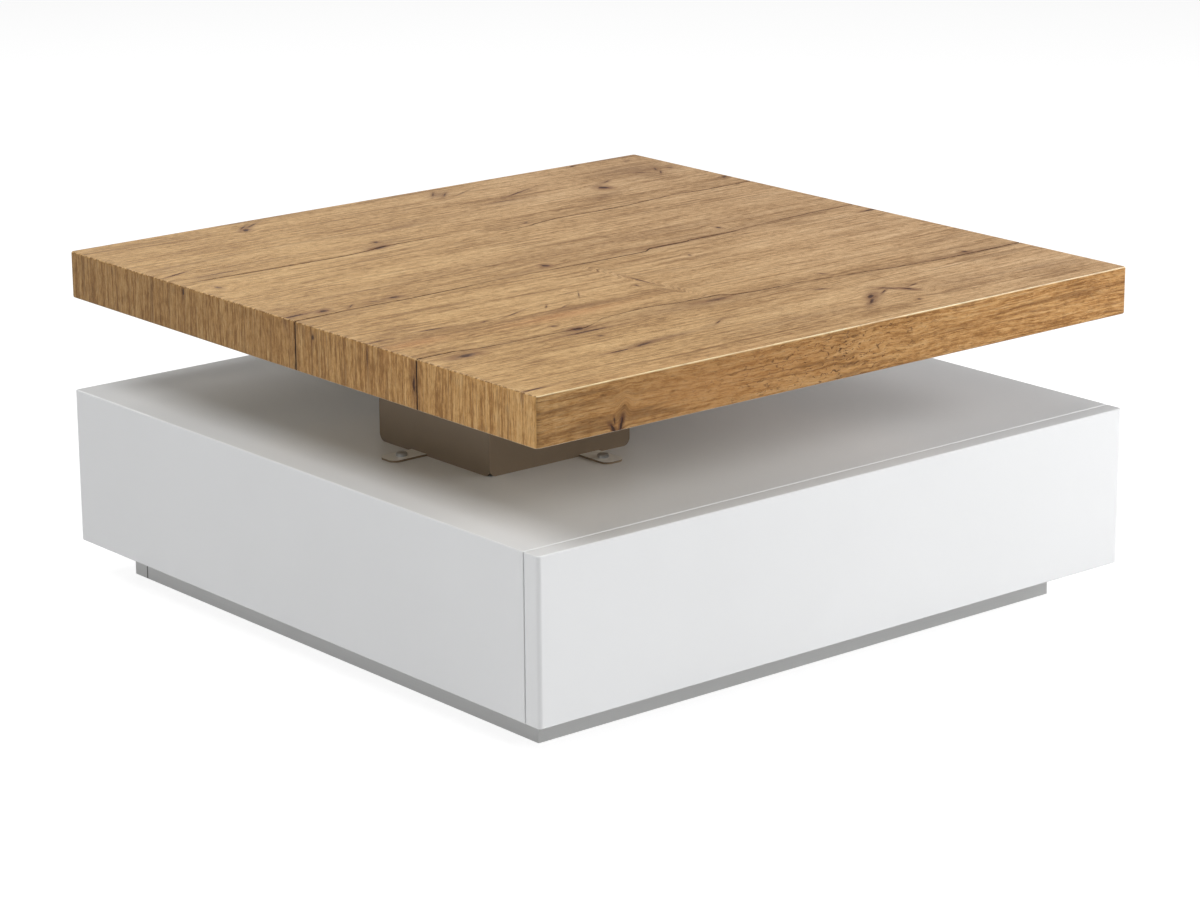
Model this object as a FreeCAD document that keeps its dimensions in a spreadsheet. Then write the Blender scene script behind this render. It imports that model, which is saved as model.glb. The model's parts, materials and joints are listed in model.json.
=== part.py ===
"""Swivel coffee table.

A square oak top turns on an off-centre steel pedestal, above a lacquered body with one drawer and a plinth.
Millimetres. +Z is up, the drawer front faces -Y, and the origin is on the floor under the table's centre.
"""

import FreeCAD, Part
import math
import os
import re
import Sketcher

# Every driving dimension, in millimetres unless its comment says otherwise.
SIZES = {
    # The plan that the top and the body share
    "table_width": 750.0,  # along X
    "table_depth": 750.0,  # along Y
    # Oak top
    "top_thick": 48.0,
    "top_edge_round": 2.0,
    "top_corner_round": 4.0,
    # Body
    "plinth_high": 38.0,
    "body_high": 161.0,
    "panel_thick": 18.0,
    "back_thick": 18.0,
    "arris_round": 1.5,
    "front_thick": 19.0,
    "front_round": 4.5,  # upright corners of the drawer front
    "mouth_round": 1.0,  # outer front edges of the carcass
    "shadow_gap": 2.0,
    "dowel_radius": 4.0,
    "dowel_long": 28.0,
    "dowel_depth": 12.0,  # how deep it sits in the panel that it meets
    "dowel_inset": 30.0,  # from the end of the row to its outer dowels
    "dowel_fit": 0.05,
    # Plinth
    "plinth_thick": 22.0,
    "plinth_back_thick": 22.0,
    "plinth_side_setback": 43.0,
    "plinth_front_setback": 55.0,
    "plinth_back_setback": 31.0,
    "block_width": 36.0,
    "block_lift": 2.0,
    # Swivel pedestal
    "pivot_across": -168.0,  # the pivot's X
    "pivot_along": -68.0,  # the pivot's Y
    "pedestal_width": 172.0,
    "pedestal_depth": 172.0,
    "pedestal_high": 87.0,
    "pedestal_sheet": 2.0,
    "flap_round": 8.0,
    "tab_long": 40.0,
    "tab_width": 24.0,
    "tab_round": 8.0,
    "tab_hole_inset": 19.0,  # from the tab's free end to its bolt
    "front_tab_shift": 35.0,  # along X, front and back tabs
    "side_tab_shift": 23.0,  # along Y, left and right tabs
    "tab_bolt_head": 5.5,
    "tab_bolt_rise": 3.3,
    "tab_bolt_shank": 3.0,
    "tab_bolt_spare": 2.0,  # thread left over past its nut
    "tab_washer_radius": 9.0,
    "tab_washer_thick": 1.6,
    "tab_nut_flats": 10.0,
    "tab_nut_high": 6.0,
    "bolt_fit": 0.05,
    # Swivel bearing
    "bearing_width": 150.0,
    "bearing_high": 10.0,
    "bearing_sheet": 2.0,
    "bearing_corner_round": 8.0,
    "bearing_screw_spacing": 124.0,
    "track_radius": 56.0,
    "track_ball_count": 24.0,  # a number of balls
    "bearing_play": 0.3,
    "ring_width": 9.0,
    "ring_thick": 3.0,
    "ring_play": 0.5,
    "ridge_thick": 1.5,
    "ridge_gap": 2.0,
    "pocket_play": 0.2,
    "board_screw_head": 4.2,
    "board_screw_shank": 2.2,
    "board_screw_long": 32.0,
    "plate_bolt_head": 4.5,
    "plate_bolt_shank": 2.5,
    "plate_bolt_long": 12.0,
    "plate_nut_flats": 8.0,
    "plate_nut_high": 5.0,
    # Pivot bolt
    "pivot_bolt_radius": 5.0,
    "pivot_fit": 0.05,
    "pivot_head_flats": 16.0,
    "pivot_head_high": 6.4,
    "pivot_washer_radius": 13.0,
    "pivot_washer_thick": 1.5,
    "pivot_recess_radius": 16.0,
    "pivot_recess_spare": 1.0,
    "pivot_nut_flats": 16.0,
    "pivot_nut_high": 10.0,
    "pivot_bolt_spare": 3.0,
    # Drawer
    "drawer_long": 500.0,  # its box, front to back
    "drawer_side_thick": 15.0,
    "drawer_end_thick": 15.0,
    "drawer_side_high": 95.0,
    "drawer_lift": 10.0,
    "drawer_bottom_thick": 4.0,
    "drawer_bottom_rise": 10.0,
    "groove_depth": 6.0,
    "groove_play": 0.2,
    "box_screw_head": 4.5,
    "box_screw_sink": 3.0,
    "box_screw_shank": 2.8,
    "box_screw_long": 45.0,
    "box_screw_low": 24.0,
    "box_screw_upper": 78.0,
    "front_screw_head": 4.5,
    "front_screw_rise": 2.5,
    "front_screw_shank": 2.0,
    "front_screw_bite": 12.0,
    "front_screw_across": 250.0,
    # Drawer runners
    "runner_long": 450.0,
    "runner_high": 45.0,
    "runner_thick": 12.7,
    "runner_sheet": 1.2,
    "runner_setback": 4.0,
    "runner_rise": 47.0,  # its middle above the drawer sides' lower edge
    "runner_race": 4.8,
    "runner_web_gap": 0.6,
    "runner_ball_play": 0.3,
    "runner_cage_sheet": 0.6,
    "runner_ball_count": 4.0,  # balls in one row of one cage
    "runner_ball_margin": 20.0,
    "drawer_travel": 430.0,
    "cage_margin": 12.5,
    "runner_screw_head": 3.4,
    "runner_screw_shank": 1.75,
    "runner_screw_long": 13.0,
    "runner_screw_spacing": 180.0,
    # Plinth screws
    "block_screw_head": 4.2,
    "block_screw_sink": 3.0,
    "block_screw_shank": 2.2,
    "block_screw_bite": 12.0,
    # Push latch
    "latch_axis_high": 38.0,
    "latch_gap": 0.3,
    "latch_press": 3.0,
    "latch_tip_radius": 7.0,
    "latch_tip_thick": 4.0,
    "latch_rod_radius": 5.0,
    "latch_rod_long": 36.0,
    "latch_fit": 0.06,
    "latch_nose_gap": 1.0,
    "latch_bore_long": 50.0,
    "latch_end_wall": 10.0,
    "latch_barrel_half": 11.0,
    "latch_foot_half": 22.0,
    "latch_foot_thick": 4.0,
    "latch_screw_head": 3.2,
    "latch_screw_sink": 2.0,
    "latch_screw_shank": 1.6,
    "latch_screw_long": 14.0,
    "latch_screw_across": 17.0,
    "spring_radius": 3.8,
    "spring_wire": 0.8,
    "spring_pitch": 2.6,
    "strike_radius": 10.0,
    "strike_thick": 1.2,
    "strike_pin_radius": 2.0,
    "strike_pin_long": 8.0,
}

# Places worked out from the driving dimensions, written as expressions
HALF_WIDTH = "(table_width / 2)"
HALF_DEPTH = "(table_depth / 2)"
BODY_TOP = "(plinth_high + body_high)"
PEDESTAL_TOP = f"({BODY_TOP} + pedestal_high)"
BOARD_UNDER = f"({PEDESTAL_TOP} + bearing_high)"
CARCASS_FRONT = f"(front_thick + shadow_gap - {HALF_DEPTH})"
INNER_HALF = f"({HALF_WIDTH} - panel_thick)"
INNER_FLOOR = "(plinth_high + panel_thick)"
DRAWER_FLOOR = f"({INNER_FLOOR} + drawer_lift)"
DRAWER_HALF = f"({INNER_HALF} - runner_thick)"
DRAWER_REAR = "(front_thick + drawer_long)"
STRIKE_FACE = f"({DRAWER_REAR} + strike_thick)"
PLINTH_HALF = f"({HALF_WIDTH} - plinth_side_setback)"
PLINTH_FRONT = f"(plinth_front_setback - {HALF_DEPTH})"
PLINTH_REAR = f"({HALF_DEPTH} - plinth_back_setback)"

# The datum of each assembly: the origin of its sub-parts, in the table's frame
TABLE = ("0", "0", "0")
CARCASS = ("0", "0", "plinth_high")
PEDESTAL = ("pivot_across", "pivot_along", BODY_TOP)
BEARING = ("pivot_across", "pivot_along", PEDESTAL_TOP)
BOARD = ("0", "0", BOARD_UNDER)
DRAWER = ("0", f"-{HALF_DEPTH}", DRAWER_FLOOR)
LATCH = ("0", f"{STRIKE_FACE} + latch_gap - {HALF_DEPTH}", INNER_FLOOR)

# How close two numbers are to count as the same
SAME_COORDINATE = 1e-6
SAME_LEVEL = 1e-4
SAME_VOLUME = 1e-3

DOC = FreeCAD.newDocument("SwivelCoffeeTable")
SHEET = DOC.addObject("Spreadsheet::Sheet", "Sizes")
PIECES = []


def fill_sheet():
    """Write each driving dimension to its own cell, beside its name."""
    for row, (alias, size) in enumerate(SIZES.items(), 1):
        SHEET.set(f"A{row}", alias)
        SHEET.set(f"B{row}", str(size))
        SHEET.setAlias(f"B{row}", alias)
    DOC.recompute()


def bind(text):
    """Point each size's name in an expression at its cell of the sheet."""
    return re.sub(r"[a-z_]+", lambda word: f"Sizes.{word[0]}" if word[0] in SIZES else word[0], text)


def value(text):
    """What an expression is worth now."""
    return float(SHEET.evalExpression(bind(text)))


def rectangle(left, right, low, high, radius=None):
    """Corners of a rectangle, each rounded if there is a radius."""
    corners = [(left, low), (right, low), (right, high), (left, high)]
    return [corner + (radius,) for corner in corners] if radius else corners


def centred(width, depth, radius=None):
    """Corners of a rectangle about the origin."""
    return rectangle(f"-{width} / 2", f"{width} / 2", f"-{depth} / 2", f"{depth} / 2", radius)


def step_towards(here, there):
    """Signs of the square-on direction from one corner to the next."""
    gaps = [value(there[axis]) - value(here[axis]) for axis in (0, 1)]
    return [0 if abs(gap) < SAME_COORDINATE else int(math.copysign(1, gap)) for gap in gaps]


def rounded(corners):
    """Give (x, y, arc) ends, where arc is the radius of the arc that starts there, or None for a line."""
    ends = []
    for number, corner in enumerate(corners):
        if len(corner) == 2 or corner[2] is None:
            ends.append((corner[0], corner[1], None))
            continue
        before = step_towards(corner, corners[number - 1])
        after = step_towards(corner, corners[(number + 1) % len(corners)])
        x, y, radius = corner
        for (across, along), arc in ((before, radius), (after, None)):
            ends.append((f"{x} + {across} * {radius}", f"{y} + {along} * {radius}", arc))
    return ends


def segments_of(ends):
    """Pair the ends into (start, end, arc) segments that run anticlockwise."""
    points = [FreeCAD.Vector(value(x), value(y), 0) for x, y, arc in ends]
    pairs = list(zip(range(len(ends)), list(range(1, len(ends))) + [0]))
    area = sum(points[a].x * points[b].y - points[b].x * points[a].y for a, b in pairs)
    if area < 0:
        pairs = [(b, a) for a, b in reversed(pairs)]
    return points, [(a, b, ends[min(a, b) if abs(a - b) == 1 else max(a, b)][2]) for a, b in pairs]


def arc_between(start, end, radius):
    """The short arc that bulges to the right of the way from start to end."""
    chord = end - start
    inward = FreeCAD.Vector(-chord.y, chord.x, 0).normalize()
    centre = (start + end) / 2 + inward * math.sqrt(max(radius**2 - chord.Length**2 / 4, 0))
    from_angle = math.atan2(start.y - centre.y, start.x - centre.x)
    to_angle = math.atan2(end.y - centre.y, end.x - centre.x)
    return Part.ArcOfCircle(Part.Circle(centre, FreeCAD.Vector(0, 0, 1), radius), from_angle, to_angle)


def pin_point(sketch, element, point, texts):
    """Bind a sketch point's distances from the sketch's origin."""
    for kind, axis, text in (("DistanceX", -2, texts[0]), ("DistanceY", -1, texts[1])):
        if abs(value(text)) < SAME_COORDINATE:
            sketch.addConstraint(Sketcher.Constraint("PointOnObject", element, point, axis))
            continue
        number = sketch.addConstraint(Sketcher.Constraint(kind, -1, 1, element, point, value(text)))
        sketch.setExpression(f"Constraints[{number}]", bind(text))


def bind_radius(sketch, element, text):
    """Bind the radius of an arc or circle."""
    number = sketch.addConstraint(Sketcher.Constraint("Radius", element, value(text)))
    sketch.setExpression(f"Constraints[{number}]", bind(text))


def draw_outline(sketch, ends):
    """Draw a closed outline whose ends and arcs follow the sheet."""
    points, segments = segments_of(ends)
    first = sketch.GeometryCount
    for start, end, arc in segments:
        if arc is None:
            sketch.addGeometry(Part.LineSegment(points[start], points[end]))
        else:
            sketch.addGeometry(arc_between(points[start], points[end], value(arc)))
    for number, (start, end, arc) in enumerate(segments):
        following = first + (number + 1) % len(segments)
        sketch.addConstraint(Sketcher.Constraint("Coincident", first + number, 2, following, 1))
    for number, (start, end, arc) in enumerate(segments):
        pin_point(sketch, first + number, 1, ends[start][:2])
        if arc is not None:
            bind_radius(sketch, first + number, arc)


def draw_circle(sketch, across, along, radius):
    """Draw a circle whose centre and radius follow the sheet."""
    centre = FreeCAD.Vector(value(across), value(along), 0)
    element = sketch.addGeometry(Part.Circle(centre, FreeCAD.Vector(0, 0, 1), value(radius)))
    pin_point(sketch, element, 3, (across, along))
    bind_radius(sketch, element, radius)


# For each direction of a turned feature: its sketch plane, the sketch axis it turns about, and its sign
DIRECTIONS = {
    "+x": ("XY", "H_Axis", 1),
    "-x": ("XY", "H_Axis", -1),
    "+y": ("XY", "V_Axis", 1),
    "-y": ("XY", "V_Axis", -1),
    "+z": ("XZ", "V_Axis", 1),
    "-z": ("XZ", "V_Axis", -1),
}


def outwards(side):
    """The direction along X that points away from the middle on one side."""
    return "-x" if side < 0 else "+x"


class Piece:
    """One sub-part: a PartDesign body with its origin at its assembly's datum."""

    def __init__(self, name, origin):
        self.name = name
        self.body = DOC.addObject("PartDesign::Body", name)
        self.body.Label = name
        self.body.AllowCompound = True
        for axis, text in zip("xyz", origin):
            self.body.setExpression(f"Placement.Base.{axis}", bind(text))
        PIECES.append(self.body)

    def datum(self, role):
        """One of the body's own origin planes or axes."""
        return next(item for item in self.body.Origin.OriginFeatures if item.Role == role)

    def attach(self, item, plane, at):
        """Lie an object on an origin plane, with its own origin moved to a point of the body."""
        across, along, up = at
        shifts = {"XY": (across, along, up), "XZ": (across, up, f"-({along})"), "YZ": (along, up, across)}
        item.AttachmentSupport = [(self.datum(f"{plane}_Plane"), "")]
        item.MapMode = "FlatFace"
        for axis, text in zip("xyz", shifts[plane]):
            item.setExpression(f"AttachmentOffset.Base.{axis}", bind(text))
        return item

    def sketch(self, plane, at=("0", "0", "0")):
        """A new sketch on an origin plane."""
        return self.attach(self.body.newObject("Sketcher::SketchObject", f"{self.name}_sketch"), plane, at)

    def prism_sketch(self, plane, start, outlines, circles):
        """A sketch of outlines and circles, at a height of start over its plane."""
        at = {"XY": ("0", "0", start), "XZ": ("0", start, "0"), "YZ": (start, "0", "0")}[plane]
        sketch = self.sketch(plane, at)
        for outline in outlines:
            draw_outline(sketch, rounded(outline))
        for circle in circles:
            draw_circle(sketch, *circle)
        return sketch

    def feature(self, kind, **properties):
        """A new PartDesign feature at the tip."""
        feature = self.body.newObject(f"PartDesign::{kind}", f"{self.name}_{kind.lower()}")
        for name, setting in properties.items():
            setattr(feature, name, setting)
        self.body.Tip = feature
        return feature

    def pad(self, plane, start, length, outlines=(), circles=(), ends=None):
        """Add a prism from start, in the positive direction."""
        sketch = self.prism_sketch(plane, start, outlines, circles)
        if ends:
            draw_outline(sketch, ends)
        pad = self.feature("Pad", Profile=sketch, Reversed=plane == "XZ")
        pad.setExpression("Length", bind(length))

    def cut(self, plane, start, length, outlines=(), circles=()):
        """Cut a prism from start, in the positive direction."""
        before = self.volume()
        sketch = self.prism_sketch(plane, start, outlines, circles)
        pocket = self.feature("Pocket", Profile=sketch, Reversed=plane != "XZ")
        pocket.setExpression("Length", bind(length))
        self.require_less(before)

    def turned_sketch(self, direction, profile, at):
        """A sketch of (distance along the axis, radius) points, starting at a point of the body."""
        plane, axis, sign = DIRECTIONS[direction]
        places = [(f"{sign} * ({along})", radius) for along, radius in profile]
        if axis == "V_Axis":
            places = [(radius, along) for along, radius in places]
        sketch = self.sketch(plane, at)
        draw_outline(sketch, [place + (None,) for place in places])
        return sketch, (sketch, [axis])

    def turn(self, direction, profile, at):
        """Add a turned solid."""
        sketch, axis = self.turned_sketch(direction, profile, at)
        self.feature("Revolution", Profile=sketch, ReferenceAxis=axis, Angle=360)

    def bore(self, direction, profile, at):
        """Cut a turned hole."""
        before = self.volume()
        sketch, axis = self.turned_sketch(direction, profile, at)
        self.feature("Groove", Profile=sketch, ReferenceAxis=axis, Angle=360)
        self.require_less(before)

    def ball(self, radius, at):
        """Add a sphere."""
        sphere = self.feature("AdditiveSphere")
        sphere.setExpression("Radius", bind(radius))
        self.attach(sphere, "XY", at)

    def hexagon(self, flats, high, at):
        """Add an upright hexagonal prism."""
        prism = self.feature("AdditivePrism", Polygon=6)
        prism.setExpression("Circumradius", bind(f"{flats} / sqrt(3)"))
        prism.setExpression("Height", bind(high))
        self.attach(prism, "XY", at)

    def row(self, axis, length, count):
        """Repeat the whole piece in a row of the given length."""
        pattern = self.feature("LinearPattern", Direction=(self.datum(f"{axis}_Axis"), [""]))
        pattern.TransformMode = "Whole shape"
        pattern.Occurrences = round(value(count))
        pattern.setExpression("Length", bind(length))

    def circle_row(self, count):
        """Repeat the last feature round the body's upright axis."""
        axis = (self.datum("Z_Axis"), [""])
        pattern = self.feature("PolarPattern", Originals=[self.body.Tip], Axis=axis, Angle=360)
        pattern.Occurrences = round(value(count))

    def mirror(self, plane):
        """Add the mirror image of the whole piece."""
        mirrored = self.feature("Mirrored", MirrorPlane=(self.datum(f"{plane}_Plane"), [""]))
        mirrored.TransformMode = "Whole shape"

    def round_edges(self, radius, chosen):
        """Fillet the edges that are chosen."""
        DOC.recompute()
        base = self.body.Tip
        names = [f"Edge{number}" for number, edge in enumerate(base.Shape.Edges, 1) if chosen(edge)]
        fillet = self.feature("Fillet", Base=(base, names))
        fillet.setExpression("Radius", bind(radius))

    def volume(self):
        """The piece's volume now."""
        DOC.recompute()
        return self.body.Tip.Shape.Volume

    def require_less(self, before):
        """Stop if the last feature cut nothing."""
        if self.volume() > before - SAME_VOLUME:
            raise ValueError(f"{self.name}: {self.body.Tip.Name} cuts nothing")


def at_height(*heights):
    """Choose the edges that lie at one of these heights of the body's frame."""
    levels = [value(height) for height in heights]

    def chosen(edge):
        box = edge.BoundBox
        return any(max(abs(box.ZMin - level), abs(box.ZMax - level)) < SAME_LEVEL for level in levels)

    return chosen


def at_front(depth):
    """Choose the edges that lie at one Y of the body's frame."""
    level = value(depth)

    def chosen(edge):
        box = edge.BoundBox
        return max(abs(box.YMin - level), abs(box.YMax - level)) < SAME_LEVEL

    return chosen


# Fasteners, as (distance from the face that the head rests on or is flush with, radius) profiles

HEAD_BEVEL = 0.25  # share of a raised head's height


def countersunk(name, sink, long, grow="0"):
    """A countersunk screw, or with grow the hole that it fits."""
    return [
        ("0", "0"),
        ("0", f"{name}_head + {grow}"),
        (sink, f"{name}_shank + {grow}"),
        (long, f"{name}_shank + {grow}"),
        (long, "0"),
    ]


def raised(name, long):
    """A screw or bolt with a raised round head, bevelled at its rim."""
    return [
        (f"-{name}_rise", "0"),
        (f"-{name}_rise", f"{name}_head - {HEAD_BEVEL} * {name}_rise"),
        (f"-{name}_rise * (1 - {HEAD_BEVEL})", f"{name}_head"),
        ("0", f"{name}_head"),
        ("0", f"{name}_shank"),
        (long, f"{name}_shank"),
        (long, "0"),
    ]


def rod(radius, start, end):
    """A plain round bar or hole."""
    return [(start, "0"), (start, radius), (end, radius), (end, "0")]


def corner_signs():
    """The four corners of a rectangle."""
    return [(across, along) for across in (-1, 1) for along in (-1, 1)]


def bearing_corners():
    """Places of the four screws in a bearing plate, about the pivot."""
    half = "bearing_screw_spacing / 2"
    return [(f"{across} * {half}", f"{along} * {half}") for across, along in corner_signs()]


def tab_corners(face_size, shift, sign):
    """A tab's corners as (out from the pivot, along its flap) pairs, rounded at its free end."""
    root = f"{sign} * ({face_size} / 2 - pedestal_sheet)"
    end = f"{sign} * ({face_size} / 2 + tab_long)"
    low, high = f"{shift} - tab_width / 2", f"{shift} + tab_width / 2"
    return [(root, low), (end, low, "tab_round"), (end, high, "tab_round"), (root, high)]


def tab_places():
    """Each pedestal tab as (its bolt's X, its bolt's Y, its corners), about the pivot."""
    places = []
    for sign in (-1, 1):
        reach = f"{sign} * (pedestal_width / 2 + tab_long - tab_hole_inset)"
        places.append((reach, "side_tab_shift", tab_corners("pedestal_width", "side_tab_shift", sign)))
        reach = f"{sign} * (pedestal_depth / 2 + tab_long - tab_hole_inset)"
        corners = tab_corners("pedestal_depth", "front_tab_shift", sign)
        turned = [(along, out, *radius) for out, along, *radius in corners]
        places.append(("front_tab_shift", reach, turned))
    return places


TAB_BOLT_LONG = "pedestal_sheet + panel_thick + tab_washer_thick + tab_nut_high + tab_bolt_spare"
BALL_RADIUS = "(bearing_high / 2 - bearing_sheet - bearing_play)"
RING_INNER = "(track_radius - ring_width / 2)"
RING_OUTER = "(track_radius + ring_width / 2)"
RIDGE_HIGH = "(bearing_high - 2 * bearing_sheet - ridge_gap)"
HEAD_LEVEL = "(bearing_high + pivot_washer_thick + bearing_play)"


# Oak top and the parts that turn with it


def make_table_top():
    board = Piece("table_top", BOARD)
    board.pad("XY", "0", "top_thick", [centred("table_width", "table_depth", "top_corner_round")])
    board.round_edges("top_edge_round", at_height("0", "top_thick"))
    recess = f"{HEAD_LEVEL} + pivot_head_high + pivot_recess_spare - bearing_high"
    board.cut("XY", "0", recess, circles=[("pivot_across", "pivot_along", "pivot_recess_radius")])
    for across, along in bearing_corners():
        place = (f"pivot_across + {across}", f"pivot_along + {along}", "0")
        depth = "board_screw_long - bearing_sheet"
        board.bore("+z", rod("board_screw_shank + bolt_fit", "0", depth), place)


def make_bearing_upper_plate():
    plate = Piece("bearing_upper_plate", BEARING)
    under = "bearing_high - bearing_sheet"
    outline = centred("bearing_width", "bearing_width", "bearing_corner_round")
    hole = ("0", "0", "pivot_bolt_radius + pivot_fit")
    plate.pad("XY", under, "bearing_sheet", [outline], [hole])
    ridge = f"{RING_OUTER} + ring_play"
    rings = [("0", "0", ridge), ("0", "0", f"{ridge} + ridge_thick")]
    plate.pad("XY", "bearing_sheet + ridge_gap", RIDGE_HIGH, circles=rings)
    for across, along in bearing_corners():
        profile = countersunk("board_screw", "bearing_sheet", "board_screw_long", "bolt_fit")
        plate.bore("+z", profile, (across, along, under))


def make_bearing_upper_screws():
    screws = Piece("bearing_upper_screws", BEARING)
    for across, along in bearing_corners():
        profile = countersunk("board_screw", "bearing_sheet", "board_screw_long")
        screws.turn("+z", profile, (across, along, "bearing_high - bearing_sheet"))


def make_pivot_thrust_washer():
    washer = Piece("pivot_thrust_washer", BEARING)
    rings = [("0", "0", "pivot_bolt_radius + pivot_fit"), ("0", "0", "pivot_washer_radius")]
    washer.pad("XY", "bearing_high", "pivot_washer_thick", circles=rings)


# Ball ring between the two bearing plates


def make_bearing_cage():
    ring = Piece("bearing_cage", BEARING)
    low = "(bearing_high - ring_thick) / 2"
    ring.pad("XY", low, "ring_thick", circles=[("0", "0", RING_INNER), ("0", "0", RING_OUTER)])
    ring.cut("XY", low, "ring_thick", circles=[("track_radius", "0", f"{BALL_RADIUS} + pocket_play")])
    ring.circle_row("track_ball_count")


def make_bearing_balls():
    balls = Piece("bearing_balls", BEARING)
    balls.ball(BALL_RADIUS, ("track_radius", "0", "bearing_high / 2"))
    balls.circle_row("track_ball_count")


# Pedestal and the fixed side of the bearing


def make_bearing_lower_plate():
    plate = Piece("bearing_lower_plate", BEARING)
    outline = centred("bearing_width", "bearing_width", "bearing_corner_round")
    hole = ("0", "0", "pivot_bolt_radius + bolt_fit")
    plate.pad("XY", "0", "bearing_sheet", [outline], [hole])
    ridge = f"{RING_INNER} - ring_play"
    rings = [("0", "0", f"{ridge} - ridge_thick"), ("0", "0", ridge)]
    plate.pad("XY", "bearing_sheet", RIDGE_HIGH, circles=rings)
    for across, along in bearing_corners():
        profile = countersunk("plate_bolt", "bearing_sheet", "plate_bolt_long", "bolt_fit")
        plate.bore("-z", profile, (across, along, "bearing_sheet"))


def make_bearing_lower_bolts():
    bolts = Piece("bearing_lower_bolts", BEARING)
    for across, along in bearing_corners():
        profile = countersunk("plate_bolt", "bearing_sheet", "plate_bolt_long")
        bolts.turn("-z", profile, (across, along, "bearing_sheet"))


def make_bearing_lower_nuts():
    nuts = Piece("bearing_lower_nuts", BEARING)
    low = "-pedestal_sheet - plate_nut_high"
    for across, along in bearing_corners():
        nuts.hexagon("plate_nut_flats", "plate_nut_high", (across, along, low))
        nuts.bore("+z", rod("plate_bolt_shank + bolt_fit", "0", "plate_nut_high"), (across, along, low))


def make_pivot_bolt():
    bolt = Piece("pivot_bolt", BEARING)
    bolt.hexagon("pivot_head_flats", "pivot_head_high", ("0", "0", HEAD_LEVEL))
    end = f"{HEAD_LEVEL} + pedestal_sheet + pivot_nut_high + pivot_bolt_spare"
    bolt.turn("-z", rod("pivot_bolt_radius", "0", end), ("0", "0", HEAD_LEVEL))


def make_pivot_lock_nut():
    nut = Piece("pivot_lock_nut", BEARING)
    low = "-pedestal_sheet - pivot_nut_high"
    nut.hexagon("pivot_nut_flats", "pivot_nut_high", ("0", "0", low))
    nut.bore("+z", rod("pivot_bolt_radius + bolt_fit", "0", "pivot_nut_high"), ("0", "0", low))


def make_pedestal_box():
    box = Piece("pedestal_box", PEDESTAL)
    holes = [("0", "0", "pivot_bolt_radius + bolt_fit")]
    holes += [(across, along, "plate_bolt_shank + bolt_fit") for across, along in bearing_corners()]
    top = "pedestal_high - pedestal_sheet"
    box.pad("XY", top, "pedestal_sheet", [centred("pedestal_width", "pedestal_depth")], holes)
    sides = (("XZ", "pedestal_width", "pedestal_depth"), ("YZ", "pedestal_depth", "pedestal_width"))
    for plane, width, reach in sides:
        half = f"{width} / 2"
        flap = [(f"-{half}", "0", "flap_round"), (half, "0", "flap_round"), (half, top), (f"-{half}", top)]
        box.pad(plane, f"-{reach} / 2", "pedestal_sheet", [flap])
        box.pad(plane, f"{reach} / 2 - pedestal_sheet", "pedestal_sheet", [flap])
    for across, along, corners in tab_places():
        box.pad("XY", "0", "pedestal_sheet", [corners], [(across, along, "tab_bolt_shank + bolt_fit")])


def make_pedestal_bolts():
    bolts = Piece("pedestal_bolts", PEDESTAL)
    for across, along, corners in tab_places():
        bolts.turn("-z", raised("tab_bolt", TAB_BOLT_LONG), (across, along, "pedestal_sheet"))


def make_pedestal_washers():
    washers = Piece("pedestal_washers", PEDESTAL)
    for across, along, corners in tab_places():
        rings = [(across, along, "tab_bolt_shank + bolt_fit"), (across, along, "tab_washer_radius")]
        washers.pad("XY", "-panel_thick - tab_washer_thick", "tab_washer_thick", circles=rings)


def make_pedestal_nuts():
    nuts = Piece("pedestal_nuts", PEDESTAL)
    low = "-panel_thick - tab_washer_thick - tab_nut_high"
    for across, along, corners in tab_places():
        nuts.hexagon("tab_nut_flats", "tab_nut_high", (across, along, low))
        nuts.bore("+z", rod("tab_bolt_shank + bolt_fit", "0", "tab_nut_high"), (across, along, low))


# Body: four mitred panels round an inset back


CARCASS_LONG = f"{HALF_DEPTH} - {CARCASS_FRONT}"
ARC_SHARE = "(1 - sqrt(1 / 2)) * arris_round"


def outer_face(axis, sign):
    """Where a mitred panel's outer face lies: X for a left or right side, Z for a bottom or top."""
    if axis == "x":
        return f"{sign} * {HALF_WIDTH}"
    return "0" if sign < 0 else "body_high"


def mitred_profile(axis, sign):
    """A panel's section: its outer face on one side of the body, with mitred ends.

    The body's section is as wide as the table and as high as the body. The panel covers its left or right
    side for the axis "x", and its bottom or top for "z". Each outer corner is half of a small round.
    """
    middle, half = ("0", HALF_WIDTH) if axis == "z" else ("body_high / 2", "body_high / 2")
    outer = outer_face(axis, sign)
    inwards = f"{outer} - {sign} * "
    ends = [
        (f"{middle} - {half} + arris_round", outer, None),
        (f"{middle} + {half} - arris_round", outer, "arris_round"),
        (f"{middle} + {half} - {ARC_SHARE}", f"{inwards}{ARC_SHARE}", None),
        (f"{middle} + {half} - panel_thick", f"{inwards}panel_thick", None),
        (f"{middle} - {half} + panel_thick", f"{inwards}panel_thick", None),
        (f"{middle} - {half} + {ARC_SHARE}", f"{inwards}{ARC_SHARE}", "arris_round"),
    ]
    return ends if axis == "z" else [(across, along, arc) for along, across, arc in ends]


def dowel_rows():
    """Each back-panel dowel as (direction out of the back panel, place on its edge)."""
    middle = f"{HALF_DEPTH} - back_thick / 2"
    rows = []
    for sign, towards in ((-1, "-x"), (1, "+x")):
        low, high = "panel_thick + dowel_inset / 2", "body_high - panel_thick - dowel_inset / 2"
        for height in (low, "body_high / 2", high):
            rows.append((towards, (f"{sign} * {INNER_HALF}", middle, height)))
    for height, towards in (("panel_thick", "-z"), ("body_high - panel_thick", "+z")):
        for share in (-1, 0, 1):
            rows.append((towards, (f"{share} * ({INNER_HALF} - dowel_inset)", middle, height)))
    return rows


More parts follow.
